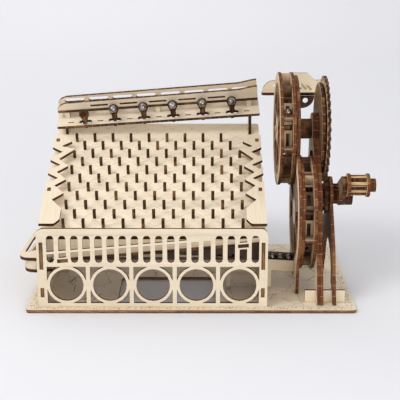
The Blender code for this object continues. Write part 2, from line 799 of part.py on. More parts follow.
def side_panel(name, x, ports):
    """A side of the cabinet, whose posts pass up through the board to the guard."""
    front = SIDE_FRONT
    back = SIDE_BACK
    outline = tabbed_edge((front, FLOOR_Z), (back, FLOOR_Z), [y - front for y in SIDE_FEET], TAB_DROP)
    outline.append((back, FLOOR_Z))
    for low, high in REAR_TABS:
        outline += [(back, low), (back + PLY, low), (back + PLY, high), (back, high)]
    outline.append((back, board_underside(back) - FIT))
    for v in GUARD_POST_V:
        outline += post_points(v)
    board_end = board_to_side(-BOARD_LOW, 0.0)[0] - FIT
    outline += [(board_end, board_underside(board_end) - FIT), (board_end, SIDE_HORN)]
    outline.append((front, SIDE_HORN))
    for middle, height in ((SIDE_TAB_HIGH_Z, SIDE_TAB_HIGH), (SIDE_TAB_LOW_Z, SIDE_TAB_LOW)):
        reach = front - PLY - FIT + 0.05
        outline += [(front, middle + height / 2), (reach, middle + height / 2)]
        outline += [(reach, middle - height / 2), (front, middle - height / 2)]
    loops = [outline] + ports
    return plate(name, loops, facing_side(x), WOOD)


def track_port(x):
    """The opening in a side panel that the return track passes through."""
    room = LANE / 2 + PLY + TRACK_PORT_ROOM
    low = track_top(x) - PLY - RAIL_SINK - 2 * TRACK_PORT_ROOM
    high = track_top(x) + RAIL_HEIGHT + 2 * TRACK_PORT_ROOM
    return rect(TRACK_Y - room, TRACK_Y + room, low, high, TRACK_PORT_CORNER)


def trough_port():
    """The opening in the left panel through which marbles drop on to the loop."""
    low = TURN_FLOOR_TOP - PLY - FIT
    return rect(SIDE_FRONT + PLY, TROUGH_WALL_Y - PLY, low, TROUGH_PORT_TOP)


def side_window():
    """The window in the back half of a side panel."""
    front, back = SIDE_WINDOW_Y
    low, high_front, high_back = SIDE_WINDOW_Z
    corners = [(front, low), (back, low), (back, high_back), (front, high_front)]
    return rounded([corner + (SIDE_WINDOW_CORNER,) for corner in corners])


def board_to_side(v, height):
    """A place (y, z) from board axes: v up the slope, height over the top face."""
    point = BOARD_ORIGIN + BOARD_V * v + BOARD_N * height
    return (point.y, point.z)


def post_points(v):
    """A guard post on a side panel, from its back corner to its front corner."""
    half = GUARD_POST / 2
    neck = half - GUARD_NECK
    under = -PLY - FIT
    shelf = GUARD_LIFT - FIT
    top = GUARD_LIFT + PLY
    corners = [(v + half, under), (v + half, shelf), (v + neck, shelf), (v + neck, top)]
    corners += [(v - neck, top), (v - neck, shelf), (v - half, shelf), (v - half, under)]
    return [board_to_side(*corner) for corner in corners]


def rear_panel():
    """The back of the cabinet, pierced by five tall windows."""
    top = board_underside(REAR_Y - PLY / 2) - FIT
    outline = tabbed_edge(
        (PANEL_LEFT, FLOOR_Z), (PANEL_RIGHT, FLOOR_Z),
        [x - PANEL_LEFT for x in REAR_FEET], TAB_DROP)
    outline += [(PANEL_RIGHT, FLOOR_Z), (PANEL_RIGHT, top), (PANEL_LEFT, top)]
    loops = [outline]
    for index in range(RING_COUNT):
        x = RING_X + (index - (RING_COUNT - 1) / 2) * RING_PITCH
        width = RING_BORE - REAR_WINDOW_TRIM
        loops.append(stadium(x, REAR_WINDOW_Z, REAR_WINDOW_HEIGHT, width, 90.0, 30.0))
    for side in (SIDE_LEFT, SIDE_RIGHT):
        for low, high in REAR_TABS:
            loops.append(rect(side - PLY / 2 - FIT, side + PLY / 2 + FIT, low - FIT, high + FIT))
    return plate("rear_panel", loops, facing_front(REAR_Y), WOOD)


def peg_places():
    """Places (u, v) of the pegs on the board: rows of ten and nine in turn."""
    places = []
    for row in range(PEG_ROWS):
        count = PEG_LONG_ROW - row % 2
        v = ((PEG_ROWS - 1) / 2 - row) * PEG_PITCH_V
        for column in range(count):
            if row == 0 and column == count - 1:
                continue
            places.append(((column - (count - 1) / 2) * PEG_PITCH_X, v))
    return places


def peg_height(u, v):
    """Height of a peg, which stays under the long tooth of a guard beside it."""
    tip_u = CABINET_LENGTH / 2 - GUARD_VALLEY - GUARD_TOOTH - GUARD_LAST_TRIM
    tip_v = GUARD_TOP_VALLEY - GUARD_TOOTH_PITCH + GUARD_LAST_RISE
    under = abs(u) > tip_u - PLY and abs(v - tip_v) < 2 * PEG_WIDTH
    return PEG_UNDER_GUARD if under else PEG_HEIGHT


def peg_board():
    """The sloping board with its rows of round topped pegs glued in."""
    half = CABINET_LENGTH / 2 - BOARD_TRIM
    loops = [rect(-half, half, -BOARD_LOW, BOARD_HIGH, BOARD_CORNER)]
    for side in (SIDE_LEFT, SIDE_RIGHT):
        u = side - CABINET_X
        for v in GUARD_POST_V:
            room = GUARD_POST / 2 + FIT
            loops.append(rect(u - PLY / 2 - FIT, u + PLY / 2 + FIT, v - room, v + room))
    low, high = tray_post_tab()
    for x in TRAY_POST_X:
        u = x - CABINET_X
        loops.append(rect(u - PLY / 2 - FIT, u + PLY / 2 + FIT, low - FIT, high + FIT))
    half = PEG_WIDTH / 2
    pieces = [(plate_mesh(loops), on_board(-PLY / 2))]
    for u, v in peg_places():
        top = peg_height(u, v)
        corners = [(-half, -PEG_SINK), (half, -PEG_SINK), (half, top, PEG_CROWN), (-half, top, PEG_CROWN)]
        place = BOARD_ORIGIN + RIGHT * u + BOARD_V * v
        pieces.append((plate_mesh([rounded(corners, 45.0)]), plane(place, BOARD_V, BOARD_N)))
    return fused("peg_board", pieces, BOARD_ORIGIN, WOOD)


def guard(name, side):
    """A zigzag plate over one edge of the board; side is -1 at the left."""
    edge = CABINET_LENGTH / 2
    valley = edge - GUARD_VALLEY
    tip = valley - GUARD_TOOTH
    corners = [(edge, -GUARD_LOW), (valley - GUARD_TOE, -GUARD_LOW, GUARD_TOE / 2)]
    corners += [(tip, GUARD_TOE_RISE - GUARD_LOW), (tip, -GUARD_TOE_END)]
    for tooth in range(GUARD_TEETH):
        low = GUARD_TOP_VALLEY - GUARD_TOOTH_PITCH * (GUARD_TEETH - tooth)
        last = tooth == GUARD_TEETH - 1
        corners.append((valley, low, GUARD_TIP_ROUND))
        reach = tip - GUARD_LAST_TRIM if last else tip
        rise = GUARD_LAST_RISE if last else GUARD_TOOTH_RISE
        corners.append((reach, low + rise, GUARD_TIP_ROUND))
    corners.append((valley, GUARD_TOP_VALLEY, GUARD_TIP_ROUND))
    corners.append((tip, GUARD_TOP_VALLEY + GUARD_TOP_RISE, GUARD_TIP_ROUND))
    corners += [(valley, GUARD_HIGH - BOARD_TRIM), (edge, GUARD_HIGH)]
    corners += guard_notches(edge)
    loops = [rounded([(side * c[0],) + tuple(c[1:]) for c in corners])]
    for v in GUARD_POST_V:
        room = GUARD_POST / 2 - GUARD_NECK + FIT
        middle = side * (edge - CABINET_INSET)
        loops.append(rect(middle - PLY / 2 - FIT, middle + PLY / 2 + FIT, v - room, v + room))
    return plate(name, loops, on_board(GUARD_LIFT + PLY / 2), WOOD)


def guard_notches(edge):
    """Slanting notches in the outer edge of a guard, from the top down."""
    points = []
    for index in range(GUARD_NOTCHES):
        mouth = GUARD_TOP_VALLEY - GUARD_NOTCH_START - GUARD_TOOTH_PITCH * index
        points += [(edge, mouth), (edge - GUARD_NOTCH, mouth - GUARD_NOTCH_DROP)]
        points += [(edge - GUARD_NOTCH_LIP, mouth - GUARD_NOTCH_LOW), (edge, mouth - GUARD_NOTCH_END)]
    return points


def trough_floor():
    """The long sloping strip that collects the marbles behind the panel."""
    middle = (RING_X, TROUGH_Z)
    left = PANEL_LEFT + TROUGH_END
    right = SIDE_RIGHT - PLY / 2 - FIT
    stretch = 1.0 / cos(radians(TROUGH_SLOPE))
    start = (left + 3.0 - middle[0]) * stretch
    end = (right - 0.2 - middle[0]) * stretch
    front = FRONT_Y + PLY / 2 + FIT
    places = []
    for index in (1, SLOT_COUNT - 2):
        x = (index - (SLOT_COUNT - 1) / 2) * SLOT_PITCH
        places.append(x * stretch - start)
    outline = tabbed_edge((start, front), (end, front), places, PLY + FIT, TROUGH_TAB)
    outline += [(end, front), (end, front + TROUGH_LANE), (start, front + TROUGH_LANE)]
    u_axis = Vector((cos(radians(TROUGH_SLOPE)), 0.0, sin(radians(TROUGH_SLOPE))))
    place = plane((middle[0], 0.0, middle[1]), u_axis, BACK)
    return plate("trough_floor", [outline], place, WOOD)


def trough_back_wall():
    """The upright wall that closes the trough under the board's low edge."""
    left = SIDE_LEFT + PLY / 2 + FIT
    right = SIDE_RIGHT - PLY / 2 - FIT
    top = board_underside(TROUGH_WALL_Y - PLY / 2) - FIT
    low = top - TROUGH_WALL_DROP
    corners = [(left, low, 3.0), (right, low, 3.0), (right, top), (left, top)]
    loops = [rounded(corners)]
    pitch = (CABINET_LENGTH - 2 * TROUGH_WALL_SLOT_EDGE) / (TROUGH_WALL_SLOTS - 1)
    length = pitch - TROUGH_WALL_SLOT_POST
    height = low + TROUGH_WALL_SLOT_LIFT
    for index in range(TROUGH_WALL_SLOTS):
        x = CABINET_X + (index - (TROUGH_WALL_SLOTS - 1) / 2) * pitch
        loops.append(stadium(x, height, length, TROUGH_WALL_SLOT_WIDTH))
    return plate("trough_back_wall", loops, facing_front(TROUGH_WALL_Y), WOOD)


def turn_outline(inset, back, right, drawn=0.0):
    """The outer shape of the loop, drawn in by an inset and at the left by more."""
    left = PANEL_LEFT - TURN_REACH + inset + drawn
    front = SIDE_FRONT + 0.6 + inset
    corner = TURN_CORNER - inset
    slant = 4.0
    return [
        (right, front), (left + 3.0, front, corner), (left, front + 14.0, 20.0),
        (left + slant, back - 6.0, 6.0), (left + slant + 6.0, back, 4.0), (right, back)]


def turn_pieces():
    """The loop outside the left side panel: floor, curved wall and open lid."""
    outside = SIDE_LEFT - PLY / 2 - FIT
    floor_back = TRACK_Y + LANE / 2 + PLY + FIT
    tongue = SIDE_LEFT + PLY / 2 + TURN_TONGUE
    lane = (SIDE_FRONT + 3.0 + FIT, TROUGH_WALL_Y - 3.0 - FIT)
    shape = [(outside, lane[1]), (tongue, lane[1]), (tongue, lane[0]), (outside, lane[0])]
    floor = rounded(shape + turn_outline(0.0, floor_back, outside, TURN_INSET))
    well_left = PANEL_LEFT - TURN_REACH + TURN_INSET + TURN_WALL + TURN_LANE
    well = rounded([
        (well_left + 1.0, -64.0, 2.0), (outside - 1.0, -61.0, 1.0),
        (outside - 1.0, -36.5, 1.0), (well_left, -36.5, 2.0)])
    plate("turn_floor", [floor, well], lying(TURN_FLOOR_TOP - PLY / 2), WOOD)
    wall_height = TURN_LID_Z - PLY / 2 - TURN_FLOOR_TOP - 2 * FIT
    deep = FIT + TURN_WALL
    outer = rounded(turn_outline(FIT, floor_back - FIT, outside, TURN_INSET))
    inner = rounded(turn_outline(deep, floor_back - deep, outside, TURN_INSET))
    band = outer + list(reversed(inner))
    wall_z = TURN_FLOOR_TOP + FIT + wall_height / 2
    plate("turn_wall", [band], lying(wall_z), EDGE, wall_height)
    lid = rounded(turn_outline(0.0, TURN_LID_BACK, outside))
    left = PANEL_LEFT - TURN_REACH + TURN_BAND
    hole = rounded([
        (left + 1.0, -74.0, 2.5), (left + 8.5, -67.0, 3.0), (outside - 1.6, -62.0, 1.5),
        (outside - 1.6, 1.0, 1.5), (left + 5.2, 1.0, 3.0), (left + 2.6, -30.0)])
    plate("turn_lid", [lid, hole], lying(TURN_LID_Z), WOOD)


def return_track():
    """The floor, rails and arch that bring marbles back to the lift."""
    lane_front = TRACK_Y - LANE / 2
    lane_back = TRACK_Y + LANE / 2
    u_axis = Vector((cos(TRACK_FALL), 0.0, -sin(TRACK_FALL)))
    n_axis = u_axis.cross(BACK)
    length = (TRACK_END - TRACK_START) / cos(TRACK_FALL) - 2 * TRACK_GAP
    start = Vector((TRACK_START, 0.0, track_top(TRACK_START))) - n_axis * PLY / 2
    floor = rect(TRACK_GAP, length, lane_front + FIT, lane_back - FIT)
    floor_piece = (plate_mesh([floor]), plane(start, u_axis, BACK))
    for name, y in (
            ("return_track_front_rail", lane_front - PLY / 2),
            ("return_track_rear_rail", lane_back + PLY / 2)):
        low = -RAIL_SINK
        high = RAIL_HEIGHT if y > TRACK_Y else RAIL_HEIGHT - FRONT_RAIL_TRIM
        ends = (TRACK_START, TRACK_END)
        outline = [(ends[0], track_top(ends[0]) + low - PLY)]
        if y < TRACK_Y:
            for x in sorted(TRACK_LEG_X):
                edge = TRACK_LEG_WIDTH / 2
                outline.append((x - edge, track_top(x - edge) + low - PLY))
                outline += [(x - edge, FIT), (x + edge, FIT)]
                outline.append((x + edge, track_top(x + edge) + low - PLY))
        outline.append((ends[1], track_top(ends[1]) + low - PLY))
        outline += [(ends[1], track_top(ends[1]) + high), (ends[0], track_top(ends[0]) + high)]
        plate(name, [outline], facing_front(y), WOOD)
    left = SIDE_RIGHT + PLY / 2 + ARCH_ROOM
    right = TRACK_END - TRACK_GAP
    low = track_top(right) - PLY - ARCH_DROP
    sunk = PLY / 3
    under = track_top(left) - PLY - ARCH_ROOM
    arch = [(left, track_top(left) - sunk), (left, under)]
    arch += [(left + ARCH_SPRING, under - PLY / 2, ARCH_SPRING), (right - ARCH_TOE, low + PLY / 2, ARCH_TOE)]
    arch += [(right, low), (right, track_top(right) - sunk)]
    arch_piece = (plate_mesh([rounded(arch)]), facing_front(TRACK_Y))
    origin = (TRACK_START, TRACK_Y, TURN_FLOOR_TOP)
    fused("return_track_floor", [floor_piece, arch_piece], origin, WOOD)


TRAY_POST_X = (SIDE_LEFT + TRAY_POST_INSET, SIDE_RIGHT - TRAY_POST_INSET)


def tray_post_tab():
    """The stretch of the board, along its slope, that a tray post stands in."""
    middle = (TRAY_POST_Y - BOARD_Y) / cos(radians(BOARD_SLOPE))
    return middle - TRAY_POST_TAB / 2, middle + TRAY_POST_TAB / 2


def tray_underside(x, y):
    """Height of the tray's underside over a place."""
    point = tray_point(0.0, 0.0, -PLY)
    return point.z - (TRAY_N.x * (x - point.x) + TRAY_N.y * (y - point.y)) / TRAY_N.z


def tray_posts():
    """Two uprights from the board to the tray, which also carry the cup rod."""
    low, high = tray_post_tab()
    for name, x in zip(("left_tray_post", "right_tray_post"), TRAY_POST_X):
        front = TRAY_POST_Y - TRAY_POST_DEPTH / 2
        back = front + TRAY_POST_DEPTH
        outline = [(front, board_top(front) + FIT)]
        outline += [board_to_side(low, FIT), board_to_side(low, -PLY)]
        outline += [board_to_side(high, -PLY), board_to_side(high, FIT)]
        outline += [(back, board_top(back) + FIT)]
        outline += [(back, tray_underside(x, back) - FIT), (front, tray_underside(x, front) - FIT)]
        u = (x - CABINET_X) / cos(radians(TRAY_ROLL))
        rod = tray_point(u, CUP_PIVOT_V, -CUP_PIVOT_DROP)
        hole = disc(rod.y, rod.z, CUP_ROD / 2 + FIT, 12)
        plate(name, [outline, hole], facing_side(x), WOOD)


def cup_u(index):
    """Place of a cup along the tray."""
    return CUP_FIRST + index * CUP_PITCH


def tray_plate():
    """The rolled tray under the channel, with an oval hole for every cup."""
    half = TRAY_LENGTH / 2
    loops = [rounded([
        (-half, 0.0, 1.5), (half, 0.0, 1.5), (half, TRAY_DEPTH, 3.0), (-half, TRAY_DEPTH, 3.0)])]
    hole_front = CUP_PIVOT_V - CUP_STEM / 2 - 2.1
    hole_back = CUP_PIVOT_V + CUP_STEM / 2 + FIT
    for index in range(CUP_COUNT):
        middle = (hole_front + hole_back) / 2
        loops.append(stadium(cup_u(index), middle, CUP_HOLE_LONG, hole_back - hole_front))
    dash_v = CUP_PIVOT_V - TRAY_DASH_SHIFT
    half_long = TRAY_DASH_LONG / 2
    half_wide = TRAY_DASH_WIDTH / 2
    for index in range(CUP_COUNT + 1):
        u = cup_u(index) - CUP_PITCH / 2
        loops.append(rect(u - half_long, u + half_long, dash_v - half_wide, dash_v + half_wide))
    return plate("tray_plate", loops, on_tray(-PLY / 2), WOOD)


def channel_wall_outline(low):
    """A long wall whose top sweeps up at its right end, from a height above the tray."""
    half = TRAY_LENGTH / 2 - CHANNEL_TRIM
    left = CHANNEL_LIFT + CHANNEL_WALL_LEFT
    shoulder = left + CHANNEL_SHOULDER
    right = CHANNEL_LIFT + CHANNEL_WALL_RIGHT
    leg = COLUMN_LENGTH / 2
    points = [(-half, low)]
    for index in range(COLUMN_COUNT):
        u = (index - (COLUMN_COUNT - 1) / 2) * COLUMN_PITCH
        points += [(u - leg, low), (u - leg, FIT), (u + leg, FIT), (u + leg, low)]
    points += [(half, low), (half, right)]
    steps = 8
    for i in range(1, steps + 1):
        share = i / steps
        ease = share * share * (3.0 - 2.0 * share)
        points.append((half - CHANNEL_RUNUP * share, right + (shoulder - right) * ease))
    lip = CHANNEL_SHOULDER
    points += [(3.6 * lip - half, left), (1.2 * lip - half, left - lip), (-half, CHANNEL_LIFT + 1.6 * lip)]
    return points


def channel_parts():
    """The channel that feeds the cups: floor, two slit walls and short columns."""
    half = TRAY_LENGTH / 2 - CHANNEL_TRIM
    wall_front = CHANNEL_FRONT + PLY / 2
    wall_back = CHANNEL_FRONT + PLY + LANE + PLY / 2
    floor_front = CHANNEL_FRONT - FIT
    floor = [rect(-half, half, floor_front, wall_back - PLY / 2 - FIT, 1.0)]
    slit_front = wall_front + FLOOR_SLIT_FRONT
    for index in range(CUP_COUNT - 1):
        middle = cup_u(index) + CUP_PITCH / 2
        left = middle - FRONT_SLIT_LENGTH / 2
        floor.append(rect(left, left + FRONT_SLIT_LENGTH, slit_front, slit_front + FLOOR_SLIT, 2.0))
    room = COLUMN_LENGTH / 2 + FIT
    for index in range(COLUMN_COUNT):
        u = (index - (COLUMN_COUNT - 1) / 2) * COLUMN_PITCH
        floor.append(rect(u - room, u + room, wall_front - PLY / 2 - FIT / 2, wall_front + PLY / 2 + FIT))
    plate("channel_floor", floor, on_tray(CHANNEL_LIFT + PLY / 2), WOOD)
    slot_h = CHANNEL_LIFT + PLY + CHANNEL_SLOT_LIFT
    front = [channel_wall_outline(CHANNEL_LIFT + PLY + FIT)]
    for index in range(CUP_COUNT - 1):
        middle = cup_u(index) + CUP_PITCH / 2
        front.append(stadium(middle, slot_h, FRONT_SLIT_LENGTH, FRONT_SLIT))
    plate("channel_front_wall", front, across_tray(wall_front), WOOD)
    rear = [channel_wall_outline(CHANNEL_LIFT)]
    first = CHANNEL_SLOT_LEFT - TRAY_LENGTH / 2
    length = CHANNEL_SLOT_PITCH - CHANNEL_SLOT_POST
    for index in range(CHANNEL_SLOTS):
        rear.append(stadium(first + index * CHANNEL_SLOT_PITCH, slot_h, length, REAR_SLIT))
    plate("channel_rear_wall", rear, across_tray(wall_back), WOOD)


def cup_rod():
    """The thin rod under the tray that all the cups rock on."""
    left = (TRAY_POST_X[0] - CABINET_X) / cos(radians(TRAY_ROLL)) - 4.0
    right = (TRAY_POST_X[1] - CABINET_X) / cos(radians(TRAY_ROLL)) + 3.2
    middle = tray_point((left + right) / 2, CUP_PIVOT_V, -CUP_PIVOT_DROP)
    bar = cylinder_mesh(CUP_ROD / 2, right - left, 0.0, 10)
    place = plane(middle, TRAY_V, TRAY_N)
    return gather("cup_rod", [(bar, place)], middle, STEEL)


def cup(index):
    """One rocking cup: a stem plate on the rod and a round backed spoon on it."""
    u = cup_u(index)
    pivot = tray_point(u, CUP_PIVOT_V, -CUP_PIVOT_DROP)
    tilt = radians(CUP_TILT) if index == 0 else 0.0
    lean = Matrix.Rotation(tilt, 3, TRAY_U)
    v_axis = lean @ TRAY_V
    n_axis = lean @ TRAY_N
    drop = CUP_PIVOT_DROP
    face = CUP_STEM / 2 - 2.1
    shelf = CUP_MARBLE_H + drop - MARBLE / 2 - FIT
    stem = [(CUP_STEM / 2, drop + 0.6), (face, drop + 0.6), (face, shelf - 0.4)]
    stem += [(face - 4.2, shelf), (face - 7.6, shelf), (face - 8.4, shelf - 2.0)]
    stem += [(face - 6.5, drop + 5.0), (-CUP_STEM / 2, drop + 1.6)]
    stem += arc(0.0, 0.0, CUP_BOSS, 180.0 + 38.0, 360.0 - 38.0, 35.0)
    stem_loops = [stem, disc(0.0, 0.0, CUP_ROD / 2 + FIT, 10)]
    spoon_low = drop + 1.0
    spoon_high = drop + CUP_TOP
    bulb = spoon_high - CUP_BULB / 2 - 1.6
    half_neck = CUP_NECK / 2
    spoon = [(-half_neck, spoon_low), (half_neck, spoon_low), (half_neck, bulb - 7.0)]
    spoon += arc(0.0, bulb, CUP_BULB / 2, -40.0, 220.0, 33.0)
    spoon.append((-half_neck, bulb - 7.0))
    spoon_place = plane(pivot + v_axis * (face + PLY / 2 - FIT), TRAY_U, n_axis)
    pieces = [(plate_mesh(stem_loops), plane(pivot, v_axis, n_axis)), (plate_mesh([spoon]), spoon_place)]
    fused("cup_%d" % (index + 1), pieces, pivot, WOOD)
    if index > 0:
        shift = v_axis * (face - MARBLE / 2 - 2 * FIT) + n_axis * (CUP_MARBLE_H + drop)
        marble("marble_%d" % (index + 1), pivot + shift, pivot)


def inner_lift_plate():
    """The guide plate between the two wheels, with a horn that bears the chute."""
    lower = LOWER_AXIS
    upper = UPPER_AXIS
    front_foot, back_foot = INNER_FEET
    outline = [(front_foot[0] - 6.0, FLOOR_Z)]
    outline += foot_points(front_foot)
    outline += [(front_foot[0] + 6.0, FLOOR_Z), (front_foot[0] + 6.0, 16.0)]
    outline += [(back_foot[0] - 7.0, 16.0), (back_foot[0] - 7.0, FLOOR_Z)]
    outline += foot_points(back_foot)
    outline += [(back_foot[0] + 7.0, FLOOR_Z)]
    outline += arc(lower[0], lower[1], GUIDE_LOWER, -52.0, 38.0, 10.0)
    outline += arc(upper[0], upper[1], GUIDE_UPPER, -40.0, 6.0, 10.0)
    outline += horn_points()
    outline += arc(upper[0], upper[1], GUIDE_UPPER, 32.0, 196.0, 8.0)
    outline += arc(lower[0], lower[1], GUIDE_LOWER, 118.0, 226.0, 10.0)
    loops = [outline]
    loops += [disc(upper[0], upper[1], AXLE / 2 + FIT, 12), disc(lower[0], lower[1], AXLE / 2 + FIT, 12)]
    port = MARBLE / 2 + MARBLE_ROOM
    loops.append(disc(TRACK_Y, QUEUE_Z, port, 20))
    hand_over = transfer_point()
    loops.append(disc(hand_over[0], hand_over[1], port, 20))
    loops += guide_windows(upper, (10.0, 70.0, 130.0, -50.0), 40.0)
    loops += guide_windows(lower, (-10.0, 180.0, 230.0, 40.0), 43.0)
    return plate("inner_lift_plate", loops, facing_side(INNER_PLATE_X), WOOD)


def guide_windows(centre, angles, outer):
    """Rounded windows round an axle, each bounded by two arcs."""
    loops = []
    inner = 17.0
    for middle in angles:
        sweep = 17.0
        loop = arc(centre[0], centre[1], outer, middle - sweep, middle + sweep, 12.0)
        loop += arc(centre[0], centre[1], inner, middle + sweep * 0.8, middle - sweep * 0.8, 14.0)
        loops.append(loop)
    return loops


def transfer_point():
    """The place (y, z) where marbles pass from the lower wheel to the upper one."""
    return polar(LOWER_AXIS, MARBLE_CIRCLE, 88.0)


def chute_underside(y):
    """Height of the chute floor's underside over a place y."""
    return CHUTE_Z - (y - CHUTE_FRONT) * tan(radians(CHUTE_FALL)) - PLY / 2 / cos(radians(CHUTE_FALL))


def horn_points():
    """The back of the guide plate, up to the underside of the chute's floor."""
    back = CHUTE_BACK - 5.0
    front = CHUTE_FRONT + 2.0
    low = chute_underside(back) - FIT
    middle = (CHUTE_BRACKET_Y + CHUTE_GABLE_Y) / 2
    tab_low = chute_underside(middle) - FIT
    points = [(UPPER_AXIS_Y + GUIDE_UPPER + 6.0, 158.0), (back, low - 9.0), (back, low)]
    points += [(middle + 3.0, chute_underside(middle + 3.0) - FIT), (middle + 3.0, tab_low + PLY + 0.6)]
    points += [(middle - 3.0, tab_low + PLY + 0.6), (middle - 3.0, chute_underside(middle - 3.0) - FIT)]
    points += [(front, chute_underside(front) - FIT)]
    points += [(CHUTE_FRONT - 1.5, chute_underside(front) - 4.0)]
    return points


def foot_points(foot):
    """A tab that drops into the base, left to right."""
    middle, width = foot
    low = FLOOR_Z - TAB_DROP
    left = middle - width / 2
    right = middle + width / 2
    return [(left, FLOOR_Z), (left, low), (right, low), (right, FLOOR_Z)]


def bar_notch(y):
    """A notch in a foot that the cross bar laps into."""
    room = PLY / 2 + FIT
    top = FLOOR_Z + FOOT_BAR_HEIGHT / 2 + FIT
    return [(y - room, FLOOR_Z), (y - room, top), (y + room, top), (y + room, FLOOR_Z)]


def frame_foot(start, end, foot, notch=None):
    """The bottom of one leg: a tab that stands in the base, and a notch for a bar."""
    points = [(start, FLOOR_Z)] + foot_points(foot)
    if notch is not None:
        points += bar_notch(notch)
    return points + [(end, FLOOR_Z)]


def frame_arch(front, back):
    """The arch between two feet, springing a little way up their inner sides."""
    spring = 5.0
    height = FLOOR_Z + 13.7
    radius = (back - front) / 2 - spring - 4.0
    points = [(front + spring, height)]
    points += arc((front + back) / 2, height, radius, 180.0, 0.0, 12.0)
    return points + [(back - spring, height)]


def centre_lift_plate():
    """The middle frame, two sheets thick, which carries all three axles."""
    upper = UPPER_AXIS
    front_foot, back_foot = CENTRE_FEET
    outline = frame_foot(FOOT_FRONT, FOOT_FRONT + FOOT_WIDTH, front_foot, FOOT_BAR_Y)
    outline += frame_arch(FOOT_FRONT + FOOT_WIDTH, FOOT_BACK - FOOT_WIDTH)
    outline += frame_foot(FOOT_BACK - FOOT_WIDTH, FOOT_BACK, back_foot)
    outline += [(FOOT_BACK - 7.0, LOWER_AXIS[1] - 24.0), (FOOT_BACK - 16.0, LOWER_AXIS[1] + 26.0)]
    outline += arc(upper[0], upper[1], UPPER_BOSS, -8.0, 188.0, 12.0)
    outline += [(CRANK_AXIS[0] - 31.0, CRANK_AXIS[1] + 9.0), (FOOT_FRONT + 20.0, LOWER_AXIS[1] - 22.0)]
    loops = [outline]
    for axis in (upper, LOWER_AXIS, CRANK_AXIS):
        loops.append(disc(axis[0], axis[1], AXLE / 2 + FIT, 12))
    high_window = [(-19.0, -17.0), (-33.0, -31.0), (-1.0, -41.0), (9.0, -25.0)]
    loops.append(rounded([(upper[0] + y, upper[1] + z, FRAME_CORNER) for y, z in high_window]))
    low_window = [(27.0, 28.0), (25.0, 0.0), (47.0, -4.0), (45.0, 22.0)]
    loops.append(rounded([(LOWER_AXIS[0] + y, LOWER_AXIS[1] + z, FRAME_CORNER) for y, z in low_window]))
    return plate("centre_lift_plate", loops, facing_side(CENTRE_PLATE_X), WOOD, 2 * PLY)


def outer_lift_plate():
    """The outer A frame, whose head carries the crank."""
    front_foot, back_foot = OUTER_FEET
    inner_front = FOOT_FRONT + FOOT_WIDTH
    inner_back = OUTER_FOOT_BACK - FOOT_WIDTH
    outline = frame_foot(FOOT_FRONT, inner_front, front_foot, FOOT_BAR_Y)
    outline += frame_arch(inner_front, inner_back)
    outline += frame_foot(inner_back, OUTER_FOOT_BACK, back_foot)
    outline += [(OUTER_FOOT_BACK - 12.0, 56.0)]
    outline += arc(CRANK_AXIS[0], CRANK_AXIS[1], CRANK_BOSS, -20.0, 200.0, 12.0)
    outline.append((FOOT_FRONT + 20.0, 54.0))
    loops = [outline, disc(CRANK_AXIS[0], CRANK_AXIS[1], AXLE / 2 + FIT, 12)]
    return plate("outer_lift_plate", loops, facing_side(OUTER_PLATE_X), WOOD)


def foot_bar():
    """The cross bar at the front feet of the lift, notched over its frames."""
    low = FLOOR_Z
    high = FLOOR_Z + FOOT_BAR_HEIGHT
    step = FLOOR_Z + FOOT_BAR_HEIGHT / 2
    outline = [(FOOT_BAR_LEFT, low), (FOOT_BAR_RIGHT, low), (FOOT_BAR_RIGHT, high)]
    for x, thick in ((OUTER_PLATE_X, PLY), (CENTRE_PLATE_X, 2 * PLY)):
        room = thick / 2 + FIT
        outline += [(x + room, high), (x + room, step), (x - room, step), (x - room, high)]
    outline.append((FOOT_BAR_LEFT, high))
    return plate("foot_bar", [outline], facing_front(FOOT_BAR_Y), WOOD)


